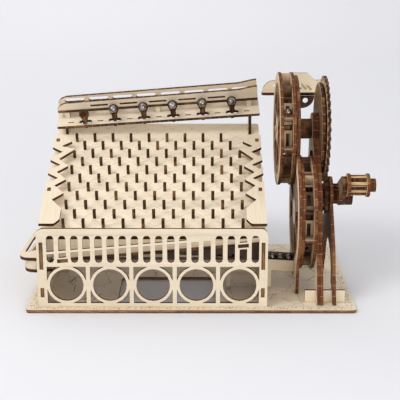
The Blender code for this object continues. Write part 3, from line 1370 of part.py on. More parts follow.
def chute_parts():
    """The chute behind the upper wheel: floor, back wall, gable and bracket."""
    fall = radians(CHUTE_FALL)
    v_axis = Vector((0.0, cos(fall), -sin(fall)))
    depth = (CHUTE_BACK - CHUTE_FRONT) / cos(fall)
    slot = ((CHUTE_BRACKET_Y + CHUTE_GABLE_Y) / 2 - CHUTE_FRONT) / cos(fall)
    loops = [rect(CHUTE_LEFT, CHUTE_RIGHT, 0.0, depth, 1.0)]
    loops.append(rect(
        INNER_PLATE_X - PLY / 2 - FIT, INNER_PLATE_X + PLY / 2 + FIT, slot - 3.7, slot + 3.7))
    plate("chute_floor", loops, plane((0.0, CHUTE_FRONT, CHUTE_Z), RIGHT, v_axis), WOOD)
    lift = PLY / cos(fall) + FIT
    low = chute_underside(CHUTE_WALL_Y - PLY / 2) + lift
    wall_right = CHUTE_RIGHT - 2.0
    wall = [(CHUTE_LEFT + 0.6, low), (wall_right, low), (wall_right, low + CHUTE_WALL)]
    wall += arc(CHUTE_LEFT + CHUTE_WALL, low, CHUTE_WALL - 0.6, 90.0, 180.0, 18.0)[:-1]
    holes = [disc(CHUTE_LEFT + 14.0 + 13.0 * i, low + 6.4, 2.4, 12) for i in range(4)]
    plate("chute_back_wall", [wall] + holes, facing_front(CHUTE_WALL_Y), WOOD)
    low = chute_underside(CHUTE_GABLE_Y - PLY / 2) + lift
    left = INNER_PLATE_X + PLY / 2 + FIT
    right = CHUTE_RIGHT
    slope_left = left + 16.0
    gable = [(left, low), (right - 2.0, low), (right, low + 4.0), (slope_left, low + CHUTE_GABLE)]
    gable += [(left, low + CHUTE_GABLE)]
    slits = [stadium(left + 7.0 + 5.6 * i, low + 6.6 - 0.9 * i, 9.0 - i, 2.2, 135.0) for i in range(3)]
    plate("chute_gable", [gable] + slits, facing_front(CHUTE_GABLE_Y), WOOD)
    top = chute_underside(CHUTE_BRACKET_Y + PLY / 2) - FIT
    middle = left + 10.4
    bracket = [(left, top)] + [(left, top - CHUTE_BRACKET)]
    bracket += arc(middle, top, CHUTE_BRACKET, -90.0, 0.0, 15.0)
    hole = disc(middle + 3.5, top - 4.8, 2.9, 14)
    plate("chute_bracket", [bracket, hole], facing_front(CHUTE_BRACKET_Y), WOOD)


def wheel_loops(phase, pierced):
    """A wheel ring: spoke windows and, if it faces the guide plate, slots and marble ports."""
    loops = [disc(0.0, 0.0, WHEEL_RADIUS, 48), disc(0.0, 0.0, AXLE / 2 + FIT, 12)]
    outer = WHEEL_RADIUS - WHEEL_RIM
    for spoke in range(SPOKES):
        middle = phase + 360.0 / SPOKES * (spoke + 0.5)
        wide = 180.0 / SPOKES - degrees(asin(SPOKE_WIDTH / 2 / outer))
        narrow = 180.0 / SPOKES - degrees(asin(SPOKE_WIDTH / 2 / WHEEL_HUB))
        loop = arc(0.0, 0.0, outer, middle - wide, middle + wide, 12.5)
        loop += arc(0.0, 0.0, WHEEL_HUB, middle + narrow, middle - narrow, 20.0)
        loops.append(loop)
    for pocket in range(POCKETS):
        if not pierced:
            break
        angle = phase + 360.0 / POCKETS * pocket
        room = 2 * FIT
        place = polar((0.0, 0.0), SLAT_RADIUS, angle)
        loops.append(turned_rect(place[0], place[1], PLY + room, SLAT_TAB + room, angle))
        place = paddle_place(angle, PADDLE_REACH - PADDLE_TIP - PADDLE_TAB / 2)
        loops.append(turned_rect(place[0], place[1], PADDLE_TAB + room, PLY + room, angle))
        place = polar((0.0, 0.0), MARBLE_CIRCLE + 0.5, angle)
        loops.append(disc(place[0], place[1], MARBLE / 2 + FIT, 8))
    return loops


def paddle_place(angle, radius):
    """A point in a paddle's middle plane, which lies behind the marble it lifts."""
    base = polar((0.0, 0.0), radius, angle)
    along = (-PADDLE_OFFSET * sin(radians(angle)), PADDLE_OFFSET * cos(radians(angle)))
    return (base[0] + along[0], base[1] + along[1])


def wheel_cage(name, axis, left, gap, phase, fixed_left):
    """One ring with its slats and paddles glued in; their free tabs reach right or left."""
    way = 1.0 if fixed_left else -1.0
    reach = gap / 2 + PLY - 0.1
    sunk = -(gap / 2 + PLY - 0.8)
    inside = gap / 2 - FIT
    touch = -gap / 2 - FIT
    middle_x = left + PLY + gap / 2
    ring_x = middle_x - way * (gap / 2 + PLY / 2)
    half = SLAT_LENGTH / 2
    tab = SLAT_TAB / 2
    slat = [(touch, -half), (inside, -half), (inside, -tab), (reach, -tab), (reach, tab)]
    slat += [(inside, tab), (inside, half), (touch, half), (touch, tab), (sunk, tab)]
    slat += [(sunk, -tab), (touch, -tab)]
    slot = rect(-1.8, 1.8, 3.0 - half, half - 3.0)
    slat_mesh = plate_mesh([slat, slot])
    low = SLAT_RADIUS + PLY / 2 + FIT
    high = PADDLE_REACH
    tab_high = high - PADDLE_TIP
    tab_low = tab_high - PADDLE_TAB
    paddle = [(touch, low), (inside, low), (inside, tab_low), (reach, tab_low), (reach, tab_high)]
    paddle += [(inside, tab_high), (inside, high), (touch, high)]
    paddle_mesh = plate_mesh([paddle])
    pieces = [(plate_mesh(wheel_loops(phase, False)), facing_side(ring_x, *axis))]
    centre = Vector((middle_x, axis[0], axis[1]))
    for pocket in range(POCKETS):
        angle = phase + 360.0 / POCKETS * pocket
        radial = Vector((0.0, cos(radians(angle)), sin(radians(angle))))
        around = Vector((0.0, -sin(radians(angle)), cos(radians(angle))))
        pieces.append((slat_mesh, plane(centre + radial * SLAT_RADIUS, RIGHT * way, around)))
        pieces.append((paddle_mesh, plane(centre + around * PADDLE_OFFSET, RIGHT * way, radial)))
    return fused(name, pieces, (middle_x, axis[0], axis[1]), WOOD)


def axle(name, left, right, axis):
    """A round dowel along X."""
    bar = cylinder_mesh(AXLE / 2, right - left)
    gather(name, [(bar, along_x((left + right) / 2, axis))], (left, axis[0], axis[1]), DOWEL)


def upper_wheel():
    """The upper lift wheel with its drum, axle, gear and cap."""
    axis = UPPER_AXIS
    phase = POCKET_ANGLE
    wheel_cage("upper_wheel_cage", axis, UPPER_WHEEL_X, UPPER_WHEEL_GAP, phase, True)
    plate("upper_wheel_ring", wheel_loops(phase, True),
          facing_side(UPPER_RIGHT_X + PLY / 2, *axis), WOOD)
    cap_left = GEARBOX_X + 2 * PLY + GEAR_SPACE
    cap_right = OUTER_PLATE_X + PLY / 2 - 0.6
    axle("upper_axle", UPPER_WHEEL_X - 2.0, cap_right - 1.0, axis)
    drum_left = INNER_PLATE_X + PLY / 2 + FIT
    drum_right = CENTRE_PLATE_X - PLY - FIT
    bore = AXLE / 2 + FIT
    drum = cylinder_mesh(DRUM_RADIUS, drum_right - drum_left, bore, 24)
    drum_place = along_x((drum_left + drum_right) / 2, axis)
    gather("upper_drum", [(drum, drum_place)], (drum_left, axis[0], axis[1]), EDGE)
    hole = disc(0.0, 0.0, bore, 12)
    plain = plate_mesh([disc(0.0, 0.0, GEAR_DISC, 36), hole])
    toothed = gear_outline(UPPER_TEETH, DRIVE_MODULE, CRANK_BEARING)
    gear = plate_mesh([toothed, hole] + gear_windows())
    pieces = [(gear, facing_side(GEAR_X, *axis)), (plain, facing_side(GEARBOX_X + PLY / 2, *axis))]
    fuse_left = GEARBOX_X + PLY - FIT
    fuse_right = GEAR_X - PLY / 2 + FIT
    spacer = cylinder_mesh(DRUM_RADIUS, fuse_right - fuse_left, bore, 20)
    pieces.append((spacer, along_x((fuse_left + fuse_right) / 2, axis)))
    cap = cylinder_mesh(DRUM_RADIUS, cap_right - cap_left + FIT, bore, 20)
    pieces.append((cap, along_x((cap_left + cap_right - FIT) / 2, axis)))
    fused("upper_gear", pieces, (GEARBOX_X, axis[0], axis[1]), WOOD)
    centre = polar(axis, MARBLE_CIRCLE, phase)
    middle_x = UPPER_WHEEL_X + PLY + UPPER_WHEEL_GAP / 2
    marble("lifted_marble", (middle_x, centre[0], centre[1]), (middle_x, axis[0], axis[1]))


def gear_windows():
    """Windows round a gear's hub."""
    loops = []
    for window in range(6):
        middle = 60.0 * window
        loop = arc(0.0, 0.0, GEAR_WINDOW_OUTER, middle - 21.0, middle + 21.0, 14.0)
        loop += arc(0.0, 0.0, GEAR_WINDOW_INNER, middle + 14.0, middle - 14.0, 28.0)
        loops.append(loop)
    return loops


def lower_wheel():
    """The lower lift wheel with its axle and the gear that turns it."""
    axis = LOWER_AXIS
    phase = 270.0 - degrees(asin((LOWER_AXIS[0] - TRACK_Y) / MARBLE_CIRCLE))
    wheel_cage("lower_wheel_cage", axis, LOWER_WHEEL_X, LOWER_WHEEL_GAP, phase, False)
    plate("lower_wheel_ring", wheel_loops(phase, True),
          facing_side(LOWER_WHEEL_X + PLY / 2, *axis), WOOD)
    axle("lower_axle", INNER_PLATE_X - PLY / 2, GEARBOX_X + PLY + GEAR_SPACE / 2, axis)
    tooth = LOWER_BEARING + 180.0 + 180.0 / LOWER_TEETH
    loops = [gear_outline(LOWER_TEETH, SMALL_MODULE, tooth), disc(0.0, 0.0, AXLE / 2 + FIT, 12)]
    plate("lower_gear", loops, facing_side(GEARBOX_X + PLY / 2, *axis), WOOD)


def crank():
    """The crank: axle, two pinions, arm with its stacked boss, and the knob's pin."""
    axis = CRANK_AXIS
    bore = disc(0.0, 0.0, AXLE / 2 + FIT, 12)
    arm_left = OUTER_PLATE_X + PLY / 2 + CRANK_ARM_ROOM
    axle("crank_axle", CENTRE_PLATE_X - PLY, arm_left + CRANK_ARM_PLY + CRANK_STACK - 0.5, axis)
    tooth = CRANK_BEARING + 180.0 + 180.0 / PINION_TEETH
    pinion = plate_mesh([gear_outline(PINION_TEETH, DRIVE_MODULE, tooth), bore])
    small = plate_mesh([gear_outline(SMALL_TEETH, SMALL_MODULE, LOWER_BEARING), bore])
    fuse_left = GEARBOX_X + PLY - FIT
    fuse_right = GEAR_X - PLY / 2 + FIT
    spacer = cylinder_mesh(SMALL_HUB, fuse_right - fuse_left, AXLE / 2 + FIT, 12)
    pieces = [(pinion, facing_side(GEAR_X, *axis)), (small, facing_side(GEARBOX_X + PLY / 2, *axis))]
    pieces.append((spacer, along_x((fuse_left + fuse_right) / 2, axis)))
    fused("crank_pinions", pieces, (GEARBOX_X, axis[0], axis[1]), WOOD)
    end = polar((0.0, 0.0), CRANK_THROW, CRANK_ANGLE)
    outline = arc(0.0, 0.0, CRANK_ARM_BOSS, CRANK_ANGLE + 96.0, CRANK_ANGLE + 264.0, 12.0)
    outline += arc(end[0], end[1], CRANK_ARM_END, CRANK_ANGLE - 84.0, CRANK_ANGLE + 84.0, 15.0)
    arm = plate_mesh([outline, bore], CRANK_ARM_PLY)
    collar_left = OUTER_PLATE_X + PLY / 2 + FIT
    stack_right = arm_left + CRANK_ARM_PLY + CRANK_STACK
    collar = cylinder_mesh(DRUM_RADIUS, arm_left - collar_left + FIT, AXLE / 2 + FIT, 20)
    stack = cylinder_mesh(CRANK_ARM_BOSS - 0.2, CRANK_STACK + FIT, AXLE / 2 + FIT, 20)
    pieces = [(arm, facing_side(arm_left + CRANK_ARM_PLY / 2, *axis))]
    pieces.append((collar, along_x((arm_left + collar_left + FIT) / 2, axis)))
    pieces.append((stack, along_x((stack_right + arm_left + CRANK_ARM_PLY - FIT) / 2, axis)))
    pin_left = arm_left + 1.0
    pin_right = arm_left + CRANK_ARM_PLY + 2 * PLY + KNOB_GRIP - FIT
    pin = cylinder_mesh(KNOB_PIN / 2, pin_right - pin_left, 0.0, 16)
    pieces.append((pin, along_x((pin_left + pin_right) / 2, KNOB_AXIS)))
    fused("crank_arm", pieces, (arm_left, axis[0], axis[1]), EDGE)
    knob(arm_left)


def knob(arm_left):
    """The free turning knob: two flanges, a ring of grip slats round a core, a cap."""
    axis = KNOB_AXIS
    left = arm_left + CRANK_ARM_PLY + FIT
    grip_left = left + PLY
    flange_right = grip_left + KNOB_GRIP
    cap_left = flange_right + PLY
    bore = disc(0.0, 0.0, KNOB_PIN / 2 + FIT, 12)
    core = cylinder_mesh(KNOB_CORE, KNOB_GRIP + 2 * FIT, KNOB_PIN / 2 + FIT, 12)
    flange = plate_mesh([disc(0.0, 0.0, KNOB_FLANGE, 20), bore])
    cap = cylinder_mesh(KNOB_CAP, KNOB_CAP_LENGTH + FIT, 0.0, 16)
    pieces = [(core, along_x(grip_left + KNOB_GRIP / 2, axis))]
    pieces.append((flange, facing_side(left + PLY / 2, *axis)))
    pieces.append((flange, facing_side(flange_right + PLY / 2, *axis)))
    pieces.append((cap, along_x(cap_left + (KNOB_CAP_LENGTH - FIT) / 2, axis)))
    half = KNOB_GRIP / 2 + FIT
    slat = plate_mesh([rect(-half, half, KNOB_CORE - FIT * 2, KNOB_SLAT_REACH)], 2.6)
    for index in range(KNOB_SLATS):
        angle = 2 * pi * (index + 0.5) / KNOB_SLATS
        radial = Vector((0.0, cos(angle), sin(angle)))
        centre = Vector((grip_left + KNOB_GRIP / 2, axis[0], axis[1]))
        pieces.append((slat, plane(centre, RIGHT, radial)))
    fused("crank_knob", pieces, (left, axis[0], axis[1]), WOOD)


def return_marbles():
    """Marbles that wait on the track beside the lower wheel."""
    pitch = MARBLE + FIT
    for index in range(QUEUE_COUNT):
        x = TRACK_END - MARBLE / 2 - FIT - index * pitch
        z = track_top(x) + MARBLE / 2 / cos(TRACK_FALL) + FIT
        marble("return_marble_%d" % (index + 1), (x, TRACK_Y, z), (x, TRACK_Y, z))


clear_scene()
PARTS = bpy.data.collections.new("marble_run")
CUTTERS = bpy.data.collections.new("blanks")
bpy.context.scene.collection.children.link(PARTS)
bpy.context.scene.collection.children.link(CUTTERS)
WOOD = finish("birch_ply", WOOD_COLOUR, 0.6, 0.0)
EDGE = finish("burnt_ply", EDGE_COLOUR, 0.75, 0.0)
DOWEL = finish("beech_dowel", DOWEL_COLOUR, 0.55, 0.0)
STEEL = finish("bright_steel", STEEL_COLOUR, 0.12, 1.0)

base_plate()
front_panel()
side_panel("left_side_panel", SIDE_LEFT, [trough_port(), track_port(SIDE_LEFT), side_window()])
side_panel("right_side_panel", SIDE_RIGHT, [track_port(SIDE_RIGHT), side_window()])
rear_panel()
peg_board()
guard("left_guard", -1)
guard("right_guard", 1)
trough_floor()
trough_back_wall()
turn_pieces()
return_track()
tray_plate()
channel_parts()
tray_posts()
cup_rod()
for number in range(CUP_COUNT):
    cup(number)
inner_lift_plate()
centre_lift_plate()
outer_lift_plate()
foot_bar()
chute_parts()
upper_wheel()
lower_wheel()
crank()
return_marbles()
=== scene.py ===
# %% [markdown]
# A marble run from laser cut plywood
#
# The toy is a kit of flat sheets. A laser cuts each sheet, so every piece has two pale birch
# faces and one dark, burnt edge all the way round. That contrast is nearly the whole look, so
# this lesson spends its time on two finishes, and on telling each part of each piece which of
# the two it is. The shapes could be drawn again in Blender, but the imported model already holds
# them exactly, so each piece here is a dressed copy of its packed one.

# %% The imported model
import json
from math import atan2, cos, degrees, pi, radians, sin, tan
import bmesh
import bpy
from mathutils import Matrix, Vector


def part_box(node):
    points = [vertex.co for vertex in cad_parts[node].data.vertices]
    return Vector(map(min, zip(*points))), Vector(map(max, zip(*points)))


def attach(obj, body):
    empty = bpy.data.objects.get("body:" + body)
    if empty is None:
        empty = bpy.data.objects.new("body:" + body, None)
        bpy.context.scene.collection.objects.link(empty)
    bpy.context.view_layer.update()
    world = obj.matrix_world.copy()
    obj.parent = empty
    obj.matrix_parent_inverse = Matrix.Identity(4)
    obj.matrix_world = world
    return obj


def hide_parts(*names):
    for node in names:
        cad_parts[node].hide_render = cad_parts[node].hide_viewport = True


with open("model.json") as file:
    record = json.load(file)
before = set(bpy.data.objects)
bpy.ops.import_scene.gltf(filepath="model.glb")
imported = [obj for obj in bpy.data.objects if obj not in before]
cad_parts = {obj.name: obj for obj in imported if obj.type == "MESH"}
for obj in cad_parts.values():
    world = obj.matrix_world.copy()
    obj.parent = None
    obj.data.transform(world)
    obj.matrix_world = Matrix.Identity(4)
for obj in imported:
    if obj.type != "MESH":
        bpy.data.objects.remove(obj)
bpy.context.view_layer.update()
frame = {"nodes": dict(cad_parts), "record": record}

RECORD = frame["record"]
BODY_OF = {node: body for body, nodes in RECORD["behaviour"]["bodies"].items() for node in nodes}

# %% [markdown]
# The driving sizes
#
# The sheet is 3 mm thick. The board slopes 22.5 degrees to the back, and the tray above it is
# also rolled about 4 degrees so that marbles run along it. Directions for these tilted sheets
# are worked out once, here, and every finish that needs to know which way a face looks uses them.
# Blender works in metres. The wood finishes work in centimetres, because the scale of a texture
# is then a number that can be read off a ruler.

# %% Sizes and directions
MM = 0.001
CM_PER_METRE = 100.0
PLY = 3.0 * MM
MARBLE = 8.0 * MM
BOARD_SLOPE = radians(22.5)
TRAY_ROLL = radians(3.9)
CHUTE_FALL = radians(9.0)
TROUGH_SLOPE = radians(5.0)

RIGHT = Vector((1.0, 0.0, 0.0))
BACK = Vector((0.0, 1.0, 0.0))
UP = Vector((0.0, 0.0, 1.0))
BOARD_V = Vector((0.0, cos(BOARD_SLOPE), sin(BOARD_SLOPE)))
BOARD_N = RIGHT.cross(BOARD_V)
ROLL = Matrix.Rotation(-TRAY_ROLL, 3, "Y")
TRAY_U = ROLL @ RIGHT
TRAY_V = ROLL @ BOARD_V
TRAY_N = ROLL @ BOARD_N
CHUTE_V = Vector((0.0, cos(CHUTE_FALL), -sin(CHUTE_FALL)))
TROUGH_U = Vector((cos(TROUGH_SLOPE), 0.0, sin(TROUGH_SLOPE)))
print("board normal", [round(v, 3) for v in BOARD_N], "tray normal", [round(v, 3) for v in TRAY_N])

# %% [markdown]
# The camera
#
# The photograph looks down at the toy from a little above, from about a metre away and with a
# fairly long lens, so its upright lines stay nearly upright. The lens is given for the usual
# 36 mm sensor.

# %% Camera
CAMERA_PLACE = Vector((9.8, -1017.5, 368.0)) * MM
CAMERA_PITCH = radians(74.3)
CAMERA_YAW = radians(0.1)
CAMERA_LENS = 94.5
CAMERA_SENSOR = 36.0

camera_data = bpy.data.cameras.new("camera")
camera_data.lens = CAMERA_LENS
camera_data.sensor_width = CAMERA_SENSOR
camera = bpy.data.objects.new("camera", camera_data)
camera.location = CAMERA_PLACE
camera.rotation_euler = (CAMERA_PITCH, 0.0, CAMERA_YAW)
bpy.context.scene.collection.objects.link(camera)
bpy.context.scene.camera = camera
print("camera", [round(v, 3) for v in camera.location])

# %% [markdown]
# The studio's paper
#
# The toy stands on a pale sheet of paper. A flat floor and a wall would meet in a line behind
# the toy. One strip that bends up from floor to wall shows no such line, so this way was chosen.
# Its colour has a touch of blue, which makes the warm wood stand out. It lies a fifth of a
# millimetre under the toy, because two surfaces in one place flicker through each other.

# %% Paper
PAPER_COLOUR = (0.76, 0.76, 0.78, 1.0)
PAPER_GAP = 0.0002
PAPER_HALF = 4.0
PAPER_BACK = 1.6
PAPER_RISE = 3.0
PAPER_BEND = 0.9
BEND_STEPS = 16


def paper_material():
    """The studio's pale paper."""
    material = bpy.data.materials.new("studio_paper")
    material.use_nodes = True
    shader = material.node_tree.nodes["Principled BSDF"]
    shader.inputs["Base Color"].default_value = PAPER_COLOUR
    shader.inputs["Roughness"].default_value = 0.9
    shader.inputs["Specular IOR Level"].default_value = 0.2
    return material


def paper_sweep():
    """A floor that bends up into a wall, as one strip of faces."""
    profile = [(-PAPER_HALF, 0.0)]
    for step in range(BEND_STEPS + 1):
        angle = pi / 2 * step / BEND_STEPS
        y = PAPER_BACK + PAPER_BEND * sin(angle)
        profile.append((y, PAPER_BEND * (1.0 - cos(angle))))
    profile.append((PAPER_BACK + PAPER_BEND, PAPER_RISE))
    bm = bmesh.new()
    rows = []
    for y, z in profile:
        rows.append([bm.verts.new((x, y, z - PAPER_GAP)) for x in (-PAPER_HALF, PAPER_HALF)])
    for low, high in zip(rows, rows[1:]):
        bm.faces.new((low[0], low[1], high[1], high[0]))
    mesh = bpy.data.meshes.new("paper")
    bm.to_mesh(mesh)
    bm.free()
    mesh.shade_smooth()
    mesh.materials.append(paper_material())
    sweep = bpy.data.objects.new("paper", mesh)
    bpy.context.scene.collection.objects.link(sweep)
    return sweep


paper_sweep()
print("paper bends in steps", BEND_STEPS)

# %% [markdown]
# The studio's lights
#
# A sun lamp gives hard shadows. The photograph's are soft, so the light comes from square soft
# boxes. The key hangs at the upper left, which is why the shadows fall to the right. A dim fill
# stands low at the front right and keeps the dark edges readable. A wash hangs over the paper
# behind the toy and keeps it pale. The world adds an even, slightly blue light from all round.

# %% Lights
# Name, place, the point it faces, side in metres, power in watts, colour
SOFT_BOXES = (
    ("key", (-1.1, -0.9, 1.7), (0.0, 0.0, 0.08), 0.9, 18.5, (1.0, 0.985, 0.96)),
    ("fill", (0.8, -1.7, 0.65), (0.0, 0.0, 0.05), 0.9, 7.0, (0.97, 0.98, 1.0)),
    ("wash", (-0.5, 2.0, 1.7), (-0.4, 2.2, 0.0), 1.4, 9.0, (1.0, 1.0, 1.0)))
WORLD_COLOUR = (0.97, 0.975, 1.0, 1.0)
WORLD_STRENGTH = 0.8


def soft_light(name, place, aim, size, power, colour):
    """A square soft box that faces a point."""
    data = bpy.data.lights.new(name, "AREA")
    data.shape = "SQUARE"
    data.size = size
    data.energy = power
    data.color = colour
    light = bpy.data.objects.new(name, data)
    light.location = place
    light.rotation_euler = (Vector(aim) - Vector(place)).to_track_quat("-Z", "Y").to_euler()
    bpy.context.scene.collection.objects.link(light)


for soft_box in SOFT_BOXES:
    soft_light(*soft_box)
world = bpy.data.worlds.new("studio")
world.use_nodes = True
world.node_tree.nodes["Background"].inputs["Color"].default_value = WORLD_COLOUR
world.node_tree.nodes["Background"].inputs["Strength"].default_value = WORLD_STRENGTH
bpy.context.scene.world = world
bpy.context.scene.view_settings.view_transform = "Standard"
print("soft boxes", [soft_box[0] for soft_box in SOFT_BOXES])

# %% [markdown]
# Small helpers for node trees
#
# Both wood finishes are built from node groups. A group is made once, has named inputs and
# outputs, and is placed in each material with its own values. Node trees can be wired by hand in
# the editor, but in a script each wire is a line, so the helpers below keep the wiring short.

# %% Node helpers
# A Mix node has sockets for every kind of data; these are the ones that it uses for colours
MIX_FACTOR, MIX_FIRST, MIX_SECOND, MIX_RESULT = 0, 6, 7, 2


def new_group(name, inputs, outputs):
    """An empty shader group; inputs and outputs are (name, kind, default)."""
    group = bpy.data.node_groups.new(name, "ShaderNodeTree")
    for title, kind, default in inputs:
        socket = group.interface.new_socket(
            title, in_out="INPUT", socket_type="NodeSocket" + kind)
        if default is not None:
            socket.default_value = default
    for title, kind in outputs:
        group.interface.new_socket(title, in_out="OUTPUT", socket_type="NodeSocket" + kind)
    return group, group.nodes.new("NodeGroupInput"), group.nodes.new("NodeGroupOutput")


def put(tree, kind, links=(), **settings):
    """A node with its settings; links are (input, value or socket)."""
    node = tree.nodes.new("ShaderNode" + kind)
    for key, value in settings.items():
        setattr(node, key, value)
    for key, value in links:
        if isinstance(value, bpy.types.NodeSocket):
            tree.links.new(value, node.inputs[key])
        else:
            node.inputs[key].default_value = value
    return node


def maths(tree, operation, a, b=0.0, clamp=False):
    """The result of one Math node."""
    return put(tree, "Math", [(0, a), (1, b)], operation=operation, use_clamp=clamp).outputs[0]


def inverted(tree, value):
    """One minus a value."""
    return maths(tree, "SUBTRACT", 1.0, value)


def noise(tree, place, scale, detail):
    """Soft random values, mostly from 0.3 to 0.7; a larger scale gives smaller clouds."""
    links = [("Vector", place), ("Scale", scale), ("Detail", detail)]
    return put(tree, "TexNoise", links).outputs["Fac"]


def squeezed(tree, place, scale):
    """Coordinates stretched or squeezed along each axis."""
    return put(tree, "Mapping", [("Vector", place), ("Scale", scale)]).outputs[0]


def blend_colours(tree, factor, a, b):
    """The mix of two colours."""
    links = [(MIX_FACTOR, factor), (MIX_FIRST, a), (MIX_SECOND, b)]
    return put(tree, "Mix", links, data_type="RGBA").outputs[MIX_RESULT]


def step_mask(tree, value, low, high):
    """0 below low, 1 above high, smooth between."""
    links = [(0, value), (1, low), (2, high)]
    return put(tree, "MapRange", links, interpolation_type="SMOOTHSTEP").outputs[0]


print("a colour mix reads sockets", MIX_FACTOR, MIX_FIRST, MIX_SECOND)

# %% [markdown]
# Birch faces
#
# Birch ply is nearly white, with long, faint, slightly darker streaks and a few short pores
# that run along the grain. A picture of birch would repeat, and this lesson uses none. Noise
# stretched along one direction gives the streaks. A second, finer noise, cut off high, gives the
# pores. The group reads the sheet's own flat coordinates, which each piece carries, so the grain
# runs along the sheet whichever way it stands.

# %% Group: birch grain
# How much the noise is squeezed along and across the grain
STREAK_SQUEEZE = (0.22, 5.0, 1.0)
PORE_SQUEEZE = (2.2, 34.0, 1.0)
# The noise value where a mark starts, and the one where it is full
STREAK_STEP = (0.42, 0.72)
CLOUD_STEP = (0.35, 0.7)
PORE_STEP = (0.62, 0.74)


def grain_group():
    """Streaks, cloudiness and pores, as a colour, a height and a roughness."""
    group, source, sink = new_group("birch grain", [
        ("Place", "Vector", None), ("Pale", "Color", (0.8, 0.66, 0.47, 1.0)),
        ("Streak", "Color", (0.7, 0.53, 0.34, 1.0)), ("Strength", "Float", 0.5)],
        [("Colour", "Color"), ("Height", "Float"), ("Roughness", "Float")])
    place = source.outputs["Place"]
    streaks = noise(group, squeezed(group, place, STREAK_SQUEEZE), 1.3, 5.0)
    clouds = noise(group, place, 0.16, 2.0)
    pores = noise(group, squeezed(group, place, PORE_SQUEEZE), 1.0, 2.0)
    streak = step_mask(group, streaks, *STREAK_STEP)
    cloud = step_mask(group, clouds, *CLOUD_STEP)
    pore = step_mask(group, pores, *PORE_STEP)
    long_marks = maths(group, "MULTIPLY", streak, 0.7)
    marks = maths(group, "ADD", long_marks, maths(group, "MULTIPLY", cloud, 0.35))
    marks = maths(group, "ADD", marks, maths(group, "MULTIPLY", pore, 0.5))
    factor = maths(group, "MULTIPLY", marks, source.outputs["Strength"], clamp=True)
    colour = blend_colours(group, factor, source.outputs["Pale"], source.outputs["Streak"])
    group.links.new(colour, sink.inputs["Colour"])
    height = inverted(group, maths(group, "MULTIPLY", pore, 0.6))
    group.links.new(height, sink.inputs["Height"])
    rough = maths(group, "ADD", 0.5, maths(group, "MULTIPLY", streak, 0.14))
    group.links.new(rough, sink.inputs["Roughness"])
    return group


GRAIN = grain_group()
print("grain group nodes", len(GRAIN.nodes))

# %% [markdown]
# Burnt edges
#
# The laser chars the cut. The three plies of the sheet still show in it as bands, the middle
# one with its grain end on and a little redder. Here and there the cut is only lightly burnt, in
# warm patches; these come from a noise in the object's own space, so that they pass from one
# piece to the next. Some long cuts also carry short pale ticks, about one every nine
# millimetres. One flat brown would lose all of this, so the cut has its own group. A piece's
# edge carries two numbers: how far along the cut a point is, in centimetres, and how far across
# the sheet it is, with one whole number for each sheet, so a stack shows its seams.

# %% Group: burnt cut
# From the middle of a sheet's edge: where the outer plies and the sharp corners begin
OUTER_PLY_STEP = (0.14, 0.2)
ARRIS_STEP = (0.4, 0.5)
SCORCH_SQUEEZE = (9.0, 3.0, 1.0)
HEAT_STEP = (0.45, 0.85)
# The warm patches: clouds for each metre, where they start, and how much they cover
WARM_SCALE = 75.0
WARM_STEP = (0.52, 0.68)
WARM_SHARE = 0.6
# Half the width of a tick, as a share of the spacing, and where the ticks fade out
TICK_STEP = (0.018, 0.034)
TICK_FADE = (0.3, 0.5)


def cut_colour(group, source, scorch, patch, from_middle, arris):
    """Charred to brown by heat, lightly burnt in patches, black at the corners."""
    outer_ply = step_mask(group, from_middle, *OUTER_PLY_STEP)
    heat = maths(group, "ADD", maths(group, "MULTIPLY", scorch, 0.8),
                 maths(group, "MULTIPLY", patch, 0.6))
    heat = maths(group, "SUBTRACT", heat, maths(group, "MULTIPLY", outer_ply, 0.12))
    brown = step_mask(group, heat, *HEAT_STEP)
    colour = blend_colours(group, brown, source.outputs["Char"], source.outputs["Brown"])
    lightly = step_mask(group, noise(group, source.outputs["Where"], WARM_SCALE, 1.0), *WARM_STEP)
    lightly = maths(group, "MULTIPLY", lightly, WARM_SHARE)
    colour = blend_colours(group, lightly, colour, source.outputs["Warm"])
    corner = maths(group, "MULTIPLY", arris, 0.35)
    return blend_colours(group, corner, colour, source.outputs["Char"])


def tick_mask(group, source, along, patch):
    """Short pale ticks across the cut, which fade out here and there."""
    count = maths(group, "DIVIDE", along, source.outputs["Spacing"])
    from_tick = maths(group, "SUBTRACT", maths(group, "FRACT", count), 0.5)
    from_tick = maths(group, "ABSOLUTE", from_tick)
    tick = inverted(group, step_mask(group, from_tick, *TICK_STEP))
    tick = maths(group, "MULTIPLY", tick, source.outputs["Ticks"])
    return maths(group, "MULTIPLY", tick, step_mask(group, patch, *TICK_FADE))


